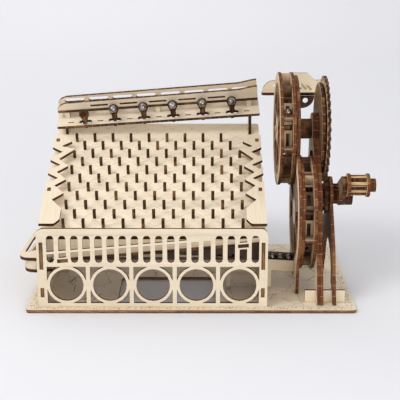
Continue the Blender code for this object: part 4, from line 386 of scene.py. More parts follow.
def cut_group():
    """The colour, height and roughness of a laser cut edge."""
    group, source, sink = new_group("burnt cut", [
        ("Place", "Vector", None), ("Where", "Vector", None),
        ("Char", "Color", (0.05, 0.018, 0.009, 1.0)),
        ("Warm", "Color", (0.27, 0.125, 0.045, 1.0)),
        ("Brown", "Color", (0.17, 0.06, 0.026, 1.0)), ("Tick", "Color", (0.45, 0.26, 0.14, 1.0)),
        ("Ticks", "Float", 1.0), ("Spacing", "Float", 0.9)],
        [("Colour", "Color"), ("Height", "Float"), ("Roughness", "Float")])
    place = source.outputs["Place"]
    split = put(group, "SeparateXYZ", [("Vector", place)])
    along, across = split.outputs["X"], split.outputs["Y"]
    from_middle = maths(group, "SUBTRACT", maths(group, "FRACT", across), 0.5)
    from_middle = maths(group, "ABSOLUTE", from_middle)
    arris = step_mask(group, from_middle, *ARRIS_STEP)
    scorch = noise(group, squeezed(group, place, SCORCH_SQUEEZE), 1.0, 4.0)
    patch = noise(group, place, 0.9, 2.0)
    colour = cut_colour(group, source, scorch, patch, from_middle, arris)
    tick = tick_mask(group, source, along, patch)
    colour = blend_colours(group, tick, colour, source.outputs["Tick"])
    group.links.new(colour, sink.inputs["Colour"])
    height = maths(group, "SUBTRACT", scorch, maths(group, "MULTIPLY", arris, 0.5))
    group.links.new(height, sink.inputs["Height"])
    rough = maths(group, "ADD", 0.5, maths(group, "MULTIPLY", scorch, 0.3))
    group.links.new(rough, sink.inputs["Roughness"])
    return group


CUT = cut_group()
print("cut group nodes", len(CUT.nodes))

# %% [markdown]
# From groups to materials
#
# Each material holds its own Principled shader and one or two groups. The flat coordinates come
# from a UV map that is called sheet. A Bump node turns the height into relief; the strengths are
# tiny, because sanded ply is nearly flat.

# %% Makers of materials
BURN_LINE = (0.2, 0.13, 0.075)
RELIEF_DEPTH = 0.0002
FACE_RELIEF = 0.25
CUT_RELIEF = 0.3
CUT_GLOSS = 0.15


def principled(name):
    """A new material, its tree and its shader."""
    material = bpy.data.materials.new(name)
    material.use_nodes = True
    return material, material.node_tree, material.node_tree.nodes["Principled BSDF"]


def sheet_place(tree):
    """The flat coordinates that every dressed sheet carries, in centimetres."""
    return put(tree, "UVMap", uv_map="sheet").outputs[0]


def relief(tree, shader, height, strength):
    """Wire a height into the shader's normal."""
    bump = put(tree, "Bump", [
        ("Height", height), ("Strength", strength), ("Distance", RELIEF_DEPTH)])
    tree.links.new(bump.outputs[0], shader.inputs["Normal"])


def face_material(name, pale, streak, strength=0.5, marks=None, mark_colour=BURN_LINE, gloss=0.3):
    """A birch face; marks is a group whose mask lays a colour on it: burnt lines or dots, or a
    band of painted shade.
    """
    material, tree, shader = principled(name)
    place = sheet_place(tree)
    grain = put(tree, "Group", node_tree=GRAIN)
    tree.links.new(place, grain.inputs["Place"])
    grain.inputs["Pale"].default_value = pale + (1.0,)
    grain.inputs["Streak"].default_value = streak + (1.0,)
    grain.inputs["Strength"].default_value = strength
    colour, height = grain.outputs["Colour"], grain.outputs["Height"]
    if marks is not None:
        # The marks' group lays burnt lines and dots, or, on the trough's back wall, a band of
        # painted shade.
        burnt = put(tree, "Group", node_tree=marks)
        tree.links.new(place, burnt.inputs["Place"])
        colour = blend_colours(tree, burnt.outputs["Mask"], colour, mark_colour + (1.0,))
        height = maths(tree, "SUBTRACT", height, burnt.outputs["Mask"])
    tree.links.new(colour, shader.inputs["Base Color"])
    tree.links.new(grain.outputs["Roughness"], shader.inputs["Roughness"])
    shader.inputs["Specular IOR Level"].default_value = gloss
    relief(tree, shader, height, FACE_RELIEF)
    return material


def cut_material(name, char, brown, ticks=1.0, spacing=0.9):
    """A burnt edge."""
    material, tree, shader = principled(name)
    cut = put(tree, "Group", node_tree=CUT)
    tree.links.new(sheet_place(tree), cut.inputs["Place"])
    tree.links.new(put(tree, "TexCoord").outputs["Object"], cut.inputs["Where"])
    cut.inputs["Char"].default_value = char + (1.0,)
    cut.inputs["Brown"].default_value = brown + (1.0,)
    cut.inputs["Ticks"].default_value = ticks
    cut.inputs["Spacing"].default_value = spacing
    tree.links.new(cut.outputs["Colour"], shader.inputs["Base Color"])
    tree.links.new(cut.outputs["Roughness"], shader.inputs["Roughness"])
    shader.inputs["Specular IOR Level"].default_value = CUT_GLOSS
    relief(tree, shader, cut.outputs["Height"], CUT_RELIEF)
    return material


print("relief in mm", RELIEF_DEPTH / MM)

# %% [markdown]
# The wood's colours
#
# One birch and one burnt edge would do for a kit fresh from the laser. In the photograph the
# edges differ: those of the lift frames and wheels glow red, those of the side panels and the
# base are lighter, and some faces are dark all over. So the same two makers are called with a
# few more colours. Among them are a dark face, which is painted shade on the sheets that lie in
# deep shade and also darkens a few more, and a darker birch, which is painted shade. A colour
# is three numbers for red, green and blue, from 0 to 1.

# %% Materials: faces and edges
PALE = (0.78, 0.675, 0.51)
STREAK = (0.66, 0.51, 0.345)
# A darker copy of the pale birch, as painted shade.
SHADE = (0.70, 0.59, 0.43)
HONEY_PALE = (0.7, 0.5, 0.27)
# The base colour of the dark face, which paints the shade on sheets in deep shade.
SCORCH_AND_SHADE_BASE = (0.24, 0.15, 0.09)
CHAR = (0.016, 0.007, 0.004)
BROWN = (0.12, 0.04, 0.014)
EMBER = (0.062, 0.02, 0.008)
RED = (0.21, 0.066, 0.02)
TAN = (0.36, 0.19, 0.09)
WARM_CHAR = (0.1, 0.04, 0.016)
WARM_BROWN = (0.27, 0.14, 0.055)
# A dark brown for the dark face's streaks and for the painted shade under the trough.
SOOT_AND_SHADE = (0.05, 0.028, 0.018)
FACE = face_material("birch_face", PALE, STREAK)
EDGE = cut_material("burnt_edge", CHAR, BROWN, 0.0)
EDGE_TICKED = cut_material("burnt_edge_with_ticks", CHAR, BROWN, 1.0)
EDGE_RED = cut_material("red_burnt_edge_with_ticks", EMBER, RED, 0.75, 1.0)
EDGE_BASE = cut_material("brown_base_edge", BROWN, TAN, 0.0)
EDGE_WARM = cut_material("warm_burnt_edge", WARM_CHAR, WARM_BROWN, 0.0)
# The dark face: painted shade on the sheets that lie in deep shade.
SCORCH_AND_SHADE = face_material("scorch_and_painted_shade_face", SCORCH_AND_SHADE_BASE, SOOT_AND_SHADE, 0.9, gloss=0.1)
SHADED = face_material("birch_in_painted_shade", SHADE, STREAK, 0.5)
HONEY = face_material("birch_honey", HONEY_PALE, TAN, 0.5)
EDGES = (EDGE, EDGE_TICKED, EDGE_RED, EDGE_BASE, EDGE_WARM)
print("edges", [material.name for material in EDGES])

# %% [markdown]
# Marks burnt into the base plate
#
# The laser also draws. The base plate has a dotted band near its rim and wandering pavement
# cracks inside it. They could be cut into the mesh, but they are very shallow, so they are a
# mask from 0 to 1 that a face material burns in. The cracks are the borders between the cells
# of a Voronoi texture, thinned out by a noise so that they break off, as drawn cracks do. The
# dots are the middles of much smaller cells.

# %% Group: pavement
# Centimetres inwards from the rim: where the dots start, where they end, where cracks start
DOTS_FROM = (0.22, 0.26)
DOTS_TO = (0.98, 1.02)
CRACKS_FROM = (1.1, 1.15)
DOT_STEP = (0.28, 0.42)
DOT_DEPTH = 0.9
CRACK_STEP = (0.005, 0.012)
CRACK_DEPTH = 0.7
CRACK_BREAKS = (0.4, 0.5)
CRACK_WANDER = (0.7, 0.7, 0.0)


def rim_distance(tree, x, y, half_x, half_y):
    """How far inside a rectangle's rim a point is."""
    gap_x = maths(tree, "SUBTRACT", half_x, maths(tree, "ABSOLUTE", x))
    gap_y = maths(tree, "SUBTRACT", half_y, maths(tree, "ABSOLUTE", y))
    return maths(tree, "MINIMUM", gap_x, gap_y)


def crack_mask(group, place, rim):
    """Borders of wandering cells, broken up, inside the dotted band."""
    wobble = put(group, "TexNoise", [("Vector", place), ("Scale", 1.1), ("Detail", 3.0)])
    shift = put(group, "VectorMath", [(0, wobble.outputs["Color"]), (1, CRACK_WANDER)],
                operation="MULTIPLY")
    bent = put(group, "VectorMath", [(0, place), (1, shift.outputs[0])], operation="ADD")
    cells = put(group, "TexVoronoi", [("Vector", bent.outputs[0]), ("Scale", 0.36)],
                feature="DISTANCE_TO_EDGE")
    crack = inverted(group, step_mask(group, cells.outputs["Distance"], *CRACK_STEP))
    crack = maths(group, "MULTIPLY", crack, CRACK_DEPTH)
    breaks = step_mask(group, noise(group, place, 0.55, 1.0), *CRACK_BREAKS)
    crack = maths(group, "MULTIPLY", crack, breaks)
    return maths(group, "MULTIPLY", crack, step_mask(group, rim, *CRACKS_FROM))


def dot_mask(group, place, rim):
    """Small round dots in a band along the rim."""
    dots = put(group, "TexVoronoi", [("Vector", place), ("Scale", 5.0), ("Randomness", 0.75)])
    dot = inverted(group, step_mask(group, dots.outputs["Distance"], *DOT_STEP))
    band = maths(group, "MULTIPLY", step_mask(group, rim, *DOTS_FROM),
                 inverted(group, step_mask(group, rim, *DOTS_TO)))
    return maths(group, "MULTIPLY", maths(group, "MULTIPLY", dot, band), DOT_DEPTH)


def pavement_group(half_x, half_y):
    """Cracks inside a dotted band, for a plate of the given half sizes in centimetres."""
    group, source, sink = new_group("pavement", [("Place", "Vector", None)], [("Mask", "Float")])
    place = source.outputs["Place"]
    split = put(group, "SeparateXYZ", [("Vector", place)])
    rim = rim_distance(group, split.outputs["X"], split.outputs["Y"], half_x, half_y)
    crack = crack_mask(group, place, rim)
    dot = dot_mask(group, place, rim)
    group.links.new(maths(group, "MAXIMUM", crack, dot), sink.inputs["Mask"])
    return group


PAVEMENT_BURN = (0.13, 0.085, 0.045)
base_low, base_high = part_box("base_plate")
BASE_HALF = ((base_high.x - base_low.x) * CM_PER_METRE / 2,
             (base_high.y - base_low.y) * CM_PER_METRE / 2)
PAVED = face_material("birch_pavement", PALE, STREAK, 0.5, pavement_group(*BASE_HALF),
                      PAVEMENT_BURN)
print("base half size in cm", [round(v, 2) for v in BASE_HALF])

# %% [markdown]
# Slanting lines on the board
#
# The sloping board has faint slanting lines from peg to peg. They run two ways, like a loose
# weave. A line is a place where the height plus a share of the width comes to a half more than
# a whole number of spacings. A noise breaks the lines up, so that they don't cross the whole
# board. The board gets the palest birch of the toy, paler than the rest as painted light,
# because it faces up to the lamps.

# %% Group: slanting lines
# Painted light: the board's birch is paler because the board faces up to the lamps.
BOARD_PALE_PAINTED_LIGHT = (0.86, 0.75, 0.575)
SLANTS = (0.62, -0.62)
SLANT_SPACING = 1.42
SLANT_STEP = (0.012, 0.03)
SLANT_BREAKS = (0.47, 0.53)
SLANT_DEPTH = 0.4


def slant_group():
    """Broken slanting lines, faint, for the board."""
    group, source, sink = new_group(
        "slanting lines", [("Place", "Vector", None)], [("Mask", "Float")])
    place = source.outputs["Place"]
    split = put(group, "SeparateXYZ", [("Vector", place)])
    mask = None
    for way in SLANTS:
        run = maths(group, "MULTIPLY", split.outputs["X"], way)
        offset = maths(group, "ADD", split.outputs["Y"], run)
        turns = maths(group, "FRACT", maths(group, "DIVIDE", offset, SLANT_SPACING))
        line = maths(group, "ABSOLUTE", maths(group, "SUBTRACT", turns, 0.5))
        line = inverted(group, step_mask(group, line, *SLANT_STEP))
        breaks = step_mask(group, noise(group, place, 1.5 + way, 0.0), *SLANT_BREAKS)
        line = maths(group, "MULTIPLY", line, breaks)
        mask = line if mask is None else maths(group, "MAXIMUM", mask, line)
    group.links.new(maths(group, "MULTIPLY", mask, SLANT_DEPTH), sink.inputs["Mask"])
    return group


SLANTED = face_material("birch_slants_painted_light", BOARD_PALE_PAINTED_LIGHT, STREAK, 0.35, slant_group())
print("slanting lines every", SLANT_SPACING, "cm")

# %% [markdown]
# Painted shade under the trough
#
# The photograph is dark in the gap under the slanting trough. More shade could come from a
# weaker fill light, but that would darken the whole front. A band of painted shade on the wall
# behind darkens only this gap. It lies between the trough's slanting line and a level foot.

# %% Group: painted shade under the trough
TROUGH_FOOT = 4.4
PAINTED_SHADE_STEP = (0.15, 0.5)
PAINTED_SHADE_DEPTH = 0.9
FOOT_BELOW = 0.25
FOOT_ABOVE = 0.1


def shade_under_trough_group(first_x, first_z, slope, foot):
    """Painted shade between a slanting line and a level foot on an upright sheet, in centimetres.
    """
    group, source, sink = new_group(
        "painted shade under the trough", [("Place", "Vector", None)], [("Mask", "Float")])
    place = source.outputs["Place"]
    split = put(group, "SeparateXYZ", [("Vector", place)])
    run = maths(group, "SUBTRACT", split.outputs["X"], first_x)
    line = maths(group, "ADD", first_z, maths(group, "MULTIPLY", run, slope))
    below = maths(group, "SUBTRACT", line, split.outputs["Y"])
    shade_wobble = maths(group, "MULTIPLY", noise(group, place, 0.8, 3.0), 0.5)
    reach = maths(group, "ADD", below, shade_wobble)
    soot_and_shade = maths(group, "MULTIPLY", step_mask(group, reach, *PAINTED_SHADE_STEP), PAINTED_SHADE_DEPTH)
    over_foot = step_mask(group, split.outputs["Y"], foot - FOOT_BELOW, foot + FOOT_ABOVE)
    group.links.new(maths(group, "MULTIPLY", soot_and_shade, over_foot), sink.inputs["Mask"])
    return group


trough_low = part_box("trough_floor")[0]
# The band paints the deep shade of the gap under the trough on to the wall behind it.
SHADE_UNDER_TROUGH = shade_under_trough_group(
    trough_low.x * CM_PER_METRE, trough_low.z * CM_PER_METRE, tan(TROUGH_SLOPE), TROUGH_FOOT)
PAINTED_SHADE_WALL = face_material("birch_with_painted_shade_band", PALE, STREAK, 0.5, SHADE_UNDER_TROUGH, SOOT_AND_SHADE, 0.1)
print("trough starts in cm", [round(v * CM_PER_METRE, 1) for v in trough_low])

# %% [markdown]
# The length of a cut
#
# The ticks and the scorching of an edge follow the cut round its corners. A box projection would
# break them at each corner. Walking round each loop of outline edges, and adding up their
# lengths, gives every corner of the sheet its distance along the cut. The top and the bottom of
# the sheet share a corner when they are seen straight through it, so a point's key leaves out
# its place across the sheet.

# %% Length along the cut
NEARLY = 0.93
KEY_STEP = 2e-5


def key_of(point, normal):
    """A point seen straight through the sheet, as a rounded key."""
    flat_point = point - normal * point.dot(normal)
    return tuple(round(v / KEY_STEP) for v in flat_point)


def outline_steps(bm, sheet_of):
    """Each outline corner's next corner and the distance to it."""
    ahead = {}
    for face in bm.faces:
        normal = sheet_of(face)[0]
        if face.normal.dot(normal) < NEARLY:
            continue
        for edge in face.edges:
            others = [f for f in edge.link_faces if f is not face]
            if not others or abs(others[0].normal.dot(normal)) > NEARLY:
                continue
            loop = [lp for lp in face.loops if lp.edge is edge][0]
            start, end = loop.vert.co, loop.link_loop_next.vert.co
            ahead[key_of(start, normal)] = (key_of(end, normal), (end - start).length)
    return ahead


def outline_lengths(bm, sheet_of):
    """How far along its outline each corner lies: key to (length, whole length)."""
    ahead = outline_steps(bm, sheet_of)
    lengths = {}
    for first in ahead:
        if first in lengths:
            continue
        here, travelled, walked = first, 0.0, []
        while here in ahead and here not in lengths:
            walked.append(here)
            lengths[here] = (travelled, 0.0)
            here, step = ahead[here]
            travelled += step
        for key in walked:
            lengths[key] = (lengths[key][0], travelled)
    return lengths


print("corners closer than", KEY_STEP / MM, "mm share a key")

# %% [markdown]
# Telling faces from edges
#
# A sheet is described by its normal and by the direction its grain runs. A face of the mesh that
# looks along the normal is a birch face; any other is a cut. The faces could be picked out by
# hand, but one rule does it for every piece. Birch faces get flat coordinates along and across
# the grain, and a cut gets its length and its place across the sheet. Some glued pieces hold
# sheets that stand in different directions, so the rule that picks the sheet is a function of
# the face.

# %% Dressing a sheet
SAME_PLACE = 1e-6
SHARP_FROM = radians(30.0)
FACE_SLOT, CUT_SLOT, SCORCH_AND_SHADE_SLOT = 0, 1, 2


def lay_face(poly, uv, grain, side):
    """Flat coordinates of a birch face, along and across its grain."""
    for loop in poly.loops:
        place = loop.vert.co
        loop[uv].uv = (place.dot(grain) * CM_PER_METRE, place.dot(side) * CM_PER_METRE)


def lay_cut(poly, uv, normal, lengths):
    """Length along the outline and place across the sheet, for one burnt face."""
    low = min(loop.vert.co.dot(normal) for loop in poly.loops)
    tangent = poly.normal.cross(normal).normalized()
    found = [lengths.get(key_of(loop.vert.co, normal)) for loop in poly.loops]
    known = [place[0] for place in found if place]
    for loop, place in zip(poly.loops, found):
        if place is None:
            along = loop.vert.co.dot(tangent)
        else:
            along, whole = place
            if max(known) - along > whole / 2:
                along += whole
        loop[uv].uv = (along * CM_PER_METRE, (loop.vert.co.dot(normal) - low) / PLY)


def dress(node, sheet_of, face=FACE, edge=EDGE, scorch_and_shade_if=None):
    """A finished copy of one node, which takes the node's place."""
    bm = bmesh.new()
    bm.from_mesh(frame["nodes"][node].data)
    bmesh.ops.remove_doubles(bm, verts=bm.verts, dist=SAME_PLACE)
    bm.normal_update()
    lengths = outline_lengths(bm, sheet_of)
    uv = bm.loops.layers.uv.new("sheet")
    for poly in bm.faces:
        normal, grain = sheet_of(poly)
        # A face that the test picks gets the dark face, which paints the shade where a face lies
        # in deep shade.
        scorch_and_shade_face = scorch_and_shade_if is not None and scorch_and_shade_if(poly)
        if scorch_and_shade_face or abs(poly.normal.dot(normal)) > NEARLY:
            lay_face(poly, uv, grain, normal.cross(grain))
            poly.material_index = SCORCH_AND_SHADE_SLOT if scorch_and_shade_face else FACE_SLOT
        else:
            lay_cut(poly, uv, normal, lengths)
            poly.material_index = CUT_SLOT
    mesh = bpy.data.meshes.new(node + "_cut")
    bm.to_mesh(mesh)
    bm.free()
    for material in (face, edge, SCORCH_AND_SHADE):
        mesh.materials.append(material)
    mesh.shade_smooth()
    mesh.set_sharp_from_angle(angle=SHARP_FROM)
    piece = bpy.data.objects.new(node + "_cut", mesh)
    bpy.context.scene.collection.objects.link(piece)
    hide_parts(node)
    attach(piece, BODY_OF[node])
    return piece


def dress_all(nodes, sheet_of, **finish):
    """Several nodes that share one rule and one finish."""
    return [dress(node, sheet_of, **finish) for node in nodes]


def flat(normal, grain):
    """The rule for a piece that is one flat sheet."""
    return lambda face: (normal, grain)


LEVEL = flat(UP, RIGHT)
FRONTAL = flat(-BACK, RIGHT)
SIDEWAYS = flat(RIGHT, BACK)
UPRIGHT = flat(RIGHT, UP)
print("edges sharper than", round(degrees(SHARP_FROM)), "degrees stay sharp")

# %% [markdown]
# The base and the cabinet
#
# The cabinet is a box of sheets that plug into the base plate. The base plate carries the
# pavement, and its edge is lighter than the others. The front panel, with its row of round
# windows, and the rear panel are plain birch. The side panels have the warm, lightly burnt edge,
# because the camera sees it along the whole slope.

# %% Base and cabinet
cabinet = [dress("base_plate", LEVEL, PAVED, EDGE_BASE)]
cabinet += dress_all(("front_panel", "rear_panel"), FRONTAL)
# The back wall carries the painted shade under the trough.
cabinet.append(dress("trough_back_wall", FRONTAL, PAINTED_SHADE_WALL))
cabinet += dress_all(("left_side_panel", "right_side_panel"), SIDEWAYS, edge=EDGE_WARM)
print("cabinet sheets", len(cabinet))

# %% [markdown]
# The board and its pegs
#
# The pegs are small plates that stand across the board, so the camera sees their burnt fronts,
# with their pale sides just showing. The board and the pegs are one node. They could be split
# into two meshes, but a rule that asks how far a face is above the board does the same and keeps
# the node whole.

# %% Board, pegs and guards
BOARD_POINT = Vector((0.0, 3.0, 100.2)) * MM
PEG_START = 0.15 * MM


def board_rule(face):
    """Pegs stand above the board's top; everything lower is the board itself."""
    above = (face.calc_center_median() - BOARD_POINT).dot(BOARD_N)
    return (RIGHT, BOARD_N) if above > PEG_START else (BOARD_N, RIGHT)


board = [dress("peg_board", board_rule, SLANTED)]
board += dress_all(("left_guard", "right_guard"), flat(BOARD_N, BOARD_V))
board.append(dress("trough_floor", flat(RIGHT.cross(BACK), TROUGH_U)))
print("faces of the board and its pegs", len(board[0].data.polygons))

# %% [markdown]
# The loop and the return track
#
# At the left a marble drops on to a small loop, which turns it round and sends it back along the
# return track. The loop's curved wall looks pale in the photograph, so what the rule takes for
# its cut gets a pale, shaded birch. The track's floor and the arch under it are one node; the
# way a face looks tells them apart. The rear rail lies in deep shade, and its dark face is
# painted shade, like the band on the wall under the trough.

# %% Loop and return track
track = dress_all(("turn_floor", "turn_lid"), LEVEL)
# The curved wall's cut gets the birch with painted shade.
track.append(dress("turn_wall", LEVEL, edge=SHADED))


def track_rule(face):
    """The arch is the upright sheet under the track's floor."""
    return (UP, RIGHT) if abs(face.normal.z) > abs(face.normal.y) else (-BACK, RIGHT)


track.append(dress("return_track_floor", track_rule))
track.append(dress("return_track_front_rail", FRONTAL))
# Painted shade: the rear rail's faces get the dark face.
track.append(dress("return_track_rear_rail", FRONTAL, SCORCH_AND_SHADE))
print("loop and track pieces", len(track))

# %% [markdown]
# The tray and its channel
#
# The tray is a tilted sheet above the board, and the channel on it has a floor and two walls.
# The long cuts of the tray and of the two walls carry the pale ticks, so these pieces get the
# ticked edge. The directions worked out at the start say which way the tilted sheets look. Two
# upright posts carry the tray.

# %% Tray, channel and posts
tray = [dress("tray_plate", flat(TRAY_N, TRAY_U), edge=EDGE_TICKED)]
tray.append(dress("channel_floor", flat(TRAY_N, TRAY_U)))
tray += dress_all(("channel_front_wall", "channel_rear_wall"), flat(TRAY_V, TRAY_U),
                  edge=EDGE_TICKED)
tray += dress_all(("left_tray_post", "right_tray_post"), UPRIGHT)
print("tray pieces", len(tray))

# %% [markdown]
# The cups
#
# Six small cups rock on one rod as the marbles pass. Their plates stand across the tray, and in
# the photograph they look brown, so their faces get the dark face and not the pale birch. One
# loop dresses all six.

# %% Cups
CUPS = 6
cups = dress_all(["cup_%d" % number for number in range(1, CUPS + 1)], flat(TRAY_U, TRAY_N),
                 face=SCORCH_AND_SHADE)
print("cups", [cup.name for cup in cups])

# %% [markdown]
# Upright frames hold the axles of the two wheels. They stand nearly edge on to the camera, so
# the red, ticked edge is most of what shows. The left face of the outer frame looks dark in the
# photograph, partly from engraving and partly from shade, so its dark face is partly painted
# shade. A dark material for the whole sheet would darken its right face too, so a test on the
# way a face looks darkens the left one only. The chute runs from the upper wheel to the
# channel.

# %% Lift frames and chute
lift = [dress("centre_lift_plate", UPRIGHT, edge=EDGE_RED)]
# Painted shade, with some engraving: the outer frame's left face gets the dark face.
lift.append(dress("outer_lift_plate", UPRIGHT, edge=EDGE_RED,
                  scorch_and_shade_if=lambda face: face.normal.x < -NEARLY))
lift.append(dress("foot_bar", FRONTAL))
lift.append(dress("chute_floor", flat(CHUTE_V.cross(RIGHT), RIGHT)))
lift += dress_all(("chute_back_wall", "chute_gable"), FRONTAL)
# Painted shade: the bracket gets the dark face.
lift.append(dress("chute_bracket", FRONTAL, SCORCH_AND_SHADE))
print("lift frame and chute pieces", len(lift))

# %% [markdown]
# The engraving of the wheels
#
# The wheels' discs are engraved all over inside a pale rim, and the soot of the engraving makes
# them brown. The drawing could be a picture wrapped on the disc, but then it would blur in a
# close view. A group measures how far a point is from the wheel's axle and burns a band between
# two radii, broken up by rays, by rings and by a noise, so that each disc reads as an ornament.

# %% Group and materials: engraved discs
RUST = (0.15, 0.062, 0.024)
TOASTED = (0.62, 0.47, 0.31)
ENGRAVED_GLOSS = 0.08
BAND_SOFT = 0.06
RAYS = 20.0
RAY_STEP = (0.1, 0.25)
RINGS_PER_CM = 2.4
RING_STEP = (0.2, 0.35)


def disc_group(name, axis, inside, outside):
    """A burnt band between two radii, in centimetres, about an axle."""
    group, source, sink = new_group(name, [("Place", "Vector", None)], [("Mask", "Float")])
    place = source.outputs["Place"]
    centre = (axis.y * CM_PER_METRE, axis.z * CM_PER_METRE, 0.0)
    local = put(group, "VectorMath", [(0, place), (1, centre)], operation="SUBTRACT").outputs[0]
    radius = put(group, "VectorMath", [(0, local)], operation="LENGTH").outputs["Value"]
    split = put(group, "SeparateXYZ", [("Vector", local)])
    angle = maths(group, "ARCTAN2", split.outputs["Y"], split.outputs["X"])
    band = maths(group, "MULTIPLY", step_mask(group, radius, inside, inside + BAND_SOFT),
                 inverted(group, step_mask(group, radius, outside - BAND_SOFT, outside)))
    rays = maths(group, "SINE", maths(group, "MULTIPLY", angle, RAYS))
    rays = maths(group, "ABSOLUTE", rays)
    rings = maths(group, "SINE", maths(group, "MULTIPLY", radius, RINGS_PER_CM))
    rings = maths(group, "ABSOLUTE", rings)
    ornament = maths(group, "MAXIMUM", step_mask(group, rays, *RAY_STEP),
                     step_mask(group, rings, *RING_STEP))
    soot_and_shade = maths(group, "MULTIPLY", noise(group, place, 2.0, 3.0), 0.6)
    depth = maths(group, "ADD", 0.62, soot_and_shade, clamp=True)
    mask = maths(group, "MULTIPLY", maths(group, "MULTIPLY", band, ornament), depth)
    group.links.new(maths(group, "MULTIPLY", mask, 0.95), sink.inputs["Mask"])
    return group


def engraved(name, pale, rings):
    """A face with a burnt ornament."""
    return face_material(name, pale, STREAK, 0.5, rings, RUST, ENGRAVED_GLOSS)


UPPER_AXIS = Vector((0.0, 11.0, 153.0)) * MM
LOWER_AXIS = Vector((0.0, -21.302, 76.123)) * MM
UPPER_DISC = engraved("engraved_upper_disc", TOASTED,
                      disc_group("upper disc", UPPER_AXIS, 1.2, 4.6))
LOWER_RINGS = disc_group("lower disc", LOWER_AXIS, 1.2, 4.6)
LOWER_DISC = engraved("engraved_lower_disc", TOASTED, LOWER_RINGS)
GUIDE_FACE = engraved("engraved_guide", PALE, LOWER_RINGS)
GEAR_DISC = engraved("engraved_gear", TOASTED, disc_group("gear disc", UPPER_AXIS, 1.3, 4.5))
print("rays in each disc", 2 * round(RAYS))

# %% [markdown]
# The wheels
#
# A wheel is two rings with slats and paddles between them, which make ten pockets for marbles.
# The slats and paddles are glued to one ring and form one node, the cage. So the rule for a cage
# has to tell from a face's place which of them it belongs to: how far across the wheel it is
# picks the ring out, and how far from the axle it is parts slats from paddles. Half of the
# pockets get the dark face on their slats and paddles, as painted shade inside the wheel, and
# half are pale, because the photograph shows dark and light ones.

# %% Wheels
POCKETS = 10
POCKET_TURN = 360.0 / POCKETS
# The pockets not listed here get painted shade inside the wheel.
PALE_POCKETS = (0, 1, 3, 6, 8)
UPPER_PHASE = 149.0
LOWER_PHASE = 261.19
SLAT_OUTSIDE = 42.85 * MM
# From the left to the right face of the ring that each cage is glued to
UPPER_CAGE = (84.6 * MM, 87.8 * MM)
LOWER_CAGE = (115.6 * MM, 118.8 * MM)


def pocket_of(out, phase):
    """Which pocket a direction out from the axle points to."""
    return round((degrees(atan2(out.z, out.y)) - phase) / POCKET_TURN)


def wheel_rule(axis, phase, ring_low, ring_high):
    """Ring, slat or paddle, told by how far across and how far out a face is."""
    def rule(face):
        centre = face.calc_center_median()
        if ring_low < centre.x < ring_high:
            return RIGHT, BACK
        out = centre - axis
        angle = radians(phase + POCKET_TURN * pocket_of(out, phase))
        radial = Vector((0.0, cos(angle), sin(angle)))
        around = Vector((0.0, -sin(angle), cos(angle)))
        return (radial, RIGHT) if out.dot(radial) < SLAT_OUTSIDE else (around, RIGHT)
    return rule


def painted_shade_between(ring_low, ring_high, axis, phase):
    """The slats and paddles of every pocket that isn't a pale one get the dark face, as painted
    shade.
    """
    def rule(face):
        centre = face.calc_center_median()
        if ring_low < centre.x < ring_high:
            return False
        return pocket_of(centre - axis, phase) % POCKETS not in PALE_POCKETS
    return rule


wheels = [dress("upper_wheel_cage", wheel_rule(UPPER_AXIS, UPPER_PHASE, *UPPER_CAGE),
                UPPER_DISC, EDGE_RED, painted_shade_between(*UPPER_CAGE, UPPER_AXIS, UPPER_PHASE))]
wheels.append(dress("lower_wheel_cage", wheel_rule(LOWER_AXIS, LOWER_PHASE, *LOWER_CAGE),
                    LOWER_DISC, EDGE_RED, painted_shade_between(*LOWER_CAGE, LOWER_AXIS, LOWER_PHASE)))
wheels.append(dress("upper_wheel_ring", SIDEWAYS, UPPER_DISC, EDGE_RED))
wheels.append(dress("lower_wheel_ring", SIDEWAYS, LOWER_DISC, EDGE_RED))
wheels.append(dress("inner_lift_plate", SIDEWAYS, GUIDE_FACE, EDGE_RED))
# The lower gear lies in deep shade between the plates, and its dark face is painted shade; the
# pinions and the drum get the same dark face.
wheels += dress_all(("lower_gear", "crank_pinions", "upper_drum"), SIDEWAYS, face=SCORCH_AND_SHADE)
wheels.append(dress("upper_gear", SIDEWAYS, GEAR_DISC, EDGE_TICKED))
print("wheel pieces", len(wheels), "pale pockets", PALE_POCKETS)

# %% [markdown]
# The crank and its knob
#
# The arm is a dark sheet at the side of the frames. The knob is a ring of small slats between
# two flanges, in a honey coloured wood that is warmer than the rest. Its slats lie with their
# broad faces outwards, so no single normal fits them: each one's normal is its own direction
# out from the knob's axis.

# %% Crank and knob
KNOB_AXIS = Vector((0.0, -49.077, 110.579)) * MM
GRIP_LEFT = 151.05 * MM
GRIP_RIGHT = 166.25 * MM


def knob_rule(face):
    """The grip's slats lie with their broad faces outwards; the rest are discs."""
    centre = face.calc_center_median()
    if GRIP_LEFT < centre.x < GRIP_RIGHT:
        out = centre - KNOB_AXIS
        return Vector((0.0, out.y, out.z)).normalized(), RIGHT
    return RIGHT, BACK


crank = [dress("crank_arm", SIDEWAYS, SCORCH_AND_SHADE, EDGE_TICKED)]
crank.append(dress("crank_knob", knob_rule, HONEY, EDGE_RED))
print("crank pieces", [piece.name for piece in crank])

# %% [markdown]
# Steel and beech
#
# The marbles are polished steel balls of 8 mm. Chrome in a white studio would look white, but
# dark surroundings mirrored in the balls make them look dark, so the steel carries painted
# reflection: its colour wanders between bright and dark steel. The axles are beech dowels, whose
# grain runs along them. Both finishes read the object's own space, because balls and dowels have
# no flat sheet to measure on.

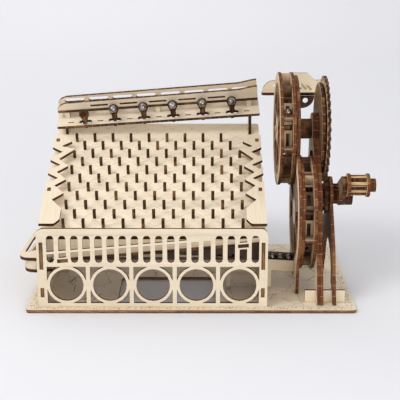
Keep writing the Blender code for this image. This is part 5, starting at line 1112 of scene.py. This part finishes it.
# %% Materials: steel and beech
# Painted reflection: both steel colours are darker than bare chrome, and the dark patches stand
# for dark surroundings mirrored in the balls and the rod.
STEEL_BRIGHT = (0.42, 0.41, 0.4, 1.0)
STEEL_DARK_REFLECTION = (0.12, 0.11, 0.1, 1.0)
DARK_REFLECTION_SCALE = 260.0
DARK_REFLECTION_STEP = (0.4, 0.62)
BEECH = (0.52, 0.33, 0.18, 1.0)
BEECH_FLECK = (0.27, 0.14, 0.07, 1.0)
FLECK_SQUEEZE = (120.0, 1400.0, 1400.0)
FLECK_STEP = (0.45, 0.7)
FLECK_RELIEF = 0.2


def steel_material():
    """Polished steel with patches of painted dark reflection."""
    material, tree, shader = principled("steel_with_painted_reflection")
    place = put(tree, "TexCoord").outputs["Object"]
    dark_reflection = step_mask(tree, noise(tree, place, DARK_REFLECTION_SCALE, 3.0), *DARK_REFLECTION_STEP)
    colour = blend_colours(tree, dark_reflection, STEEL_BRIGHT, STEEL_DARK_REFLECTION)
    tree.links.new(colour, shader.inputs["Base Color"])
    shader.inputs["Metallic"].default_value = 1.0
    rough = maths(tree, "ADD", 0.1, maths(tree, "MULTIPLY", dark_reflection, 0.15))
    tree.links.new(rough, shader.inputs["Roughness"])
    return material


def dowel_material():
    """Beech with short dark flecks along the dowel."""
    material, tree, shader = principled("beech_dowel")
    place = put(tree, "TexCoord").outputs["Object"]
    flecks = noise(tree, squeezed(tree, place, FLECK_SQUEEZE), 1.0, 3.0)
    fleck = step_mask(tree, flecks, *FLECK_STEP)
    colour = blend_colours(tree, fleck, BEECH, BEECH_FLECK)
    tree.links.new(colour, shader.inputs["Base Color"])
    rough = maths(tree, "ADD", 0.45, maths(tree, "MULTIPLY", fleck, 0.2))
    tree.links.new(rough, shader.inputs["Roughness"])
    relief(tree, shader, flecks, FLECK_RELIEF)
    return material


STEEL = steel_material()
DOWEL = dowel_material()
for name in ("upper_axle", "lower_axle", "crank_axle"):
    for slot in frame["nodes"][name].material_slots:
        slot.material = DOWEL
for slot in frame["nodes"]["cup_rod"].material_slots:
    slot.material = STEEL
print("round rods", ["upper_axle", "lower_axle", "crank_axle", "cup_rod"])

# %% [markdown]
# The steel balls
#
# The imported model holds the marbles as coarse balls, so each is replaced by a finer one with the
# same middle. A UV sphere crowds its faces at two poles, where a reflection pinches. An icosphere
# has even faces all over, so it is used here. The queue on the return track goes on behind the
# front panel's slots, and one ball has just dropped on to the loop. These seven lie loose, so
# they are one piece on the fixed body and stand for no node.

# %% Steel balls
BALL_FINENESS = 4
QUEUE_MORE = 6
DROPPED_BALL = Vector((-134.5, -79.5, 43.1)) * MM


def middle_of(node):
    """The middle of a node's box."""
    low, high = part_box(node)
    return (low + high) / 2


def steel_ball(name, centres):
    """One mesh with a fine ball at each of the given places."""
    bm = bmesh.new()
    for centre in centres:
        bmesh.ops.create_icosphere(bm, subdivisions=BALL_FINENESS, radius=MARBLE / 2,
                                   matrix=Matrix.Translation(centre))
    mesh = bpy.data.meshes.new(name)
    bm.to_mesh(mesh)
    bm.free()
    mesh.shade_smooth()
    mesh.materials.append(STEEL)
    ball = bpy.data.objects.new(name, mesh)
    bpy.context.scene.collection.objects.link(ball)
    return ball


marble_nodes = ["marble_%d" % number for number in range(2, CUPS + 1)] + ["lifted_marble"]
marble_nodes += ["return_marble_%d" % number for number in range(1, 4)]
for name in marble_nodes:
    ball = steel_ball(name + "_ball", [middle_of(name)])
    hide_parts(name)
    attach(ball, BODY_OF[name])

queue_ends = [middle_of("return_marble_%d" % number) for number in (1, 3)]
queue_ends.sort(key=lambda place: place.x)
queue_step = (queue_ends[0] - queue_ends[1]) / 2
queue = [queue_ends[0] + queue_step * (index + 1) for index in range(QUEUE_MORE)]
more = steel_ball("queued_balls", queue + [DROPPED_BALL])
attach(more, "root")
print("balls", len(marble_nodes) + len(queue) + 1, "step in mm", round(queue_step.length / MM, 2))
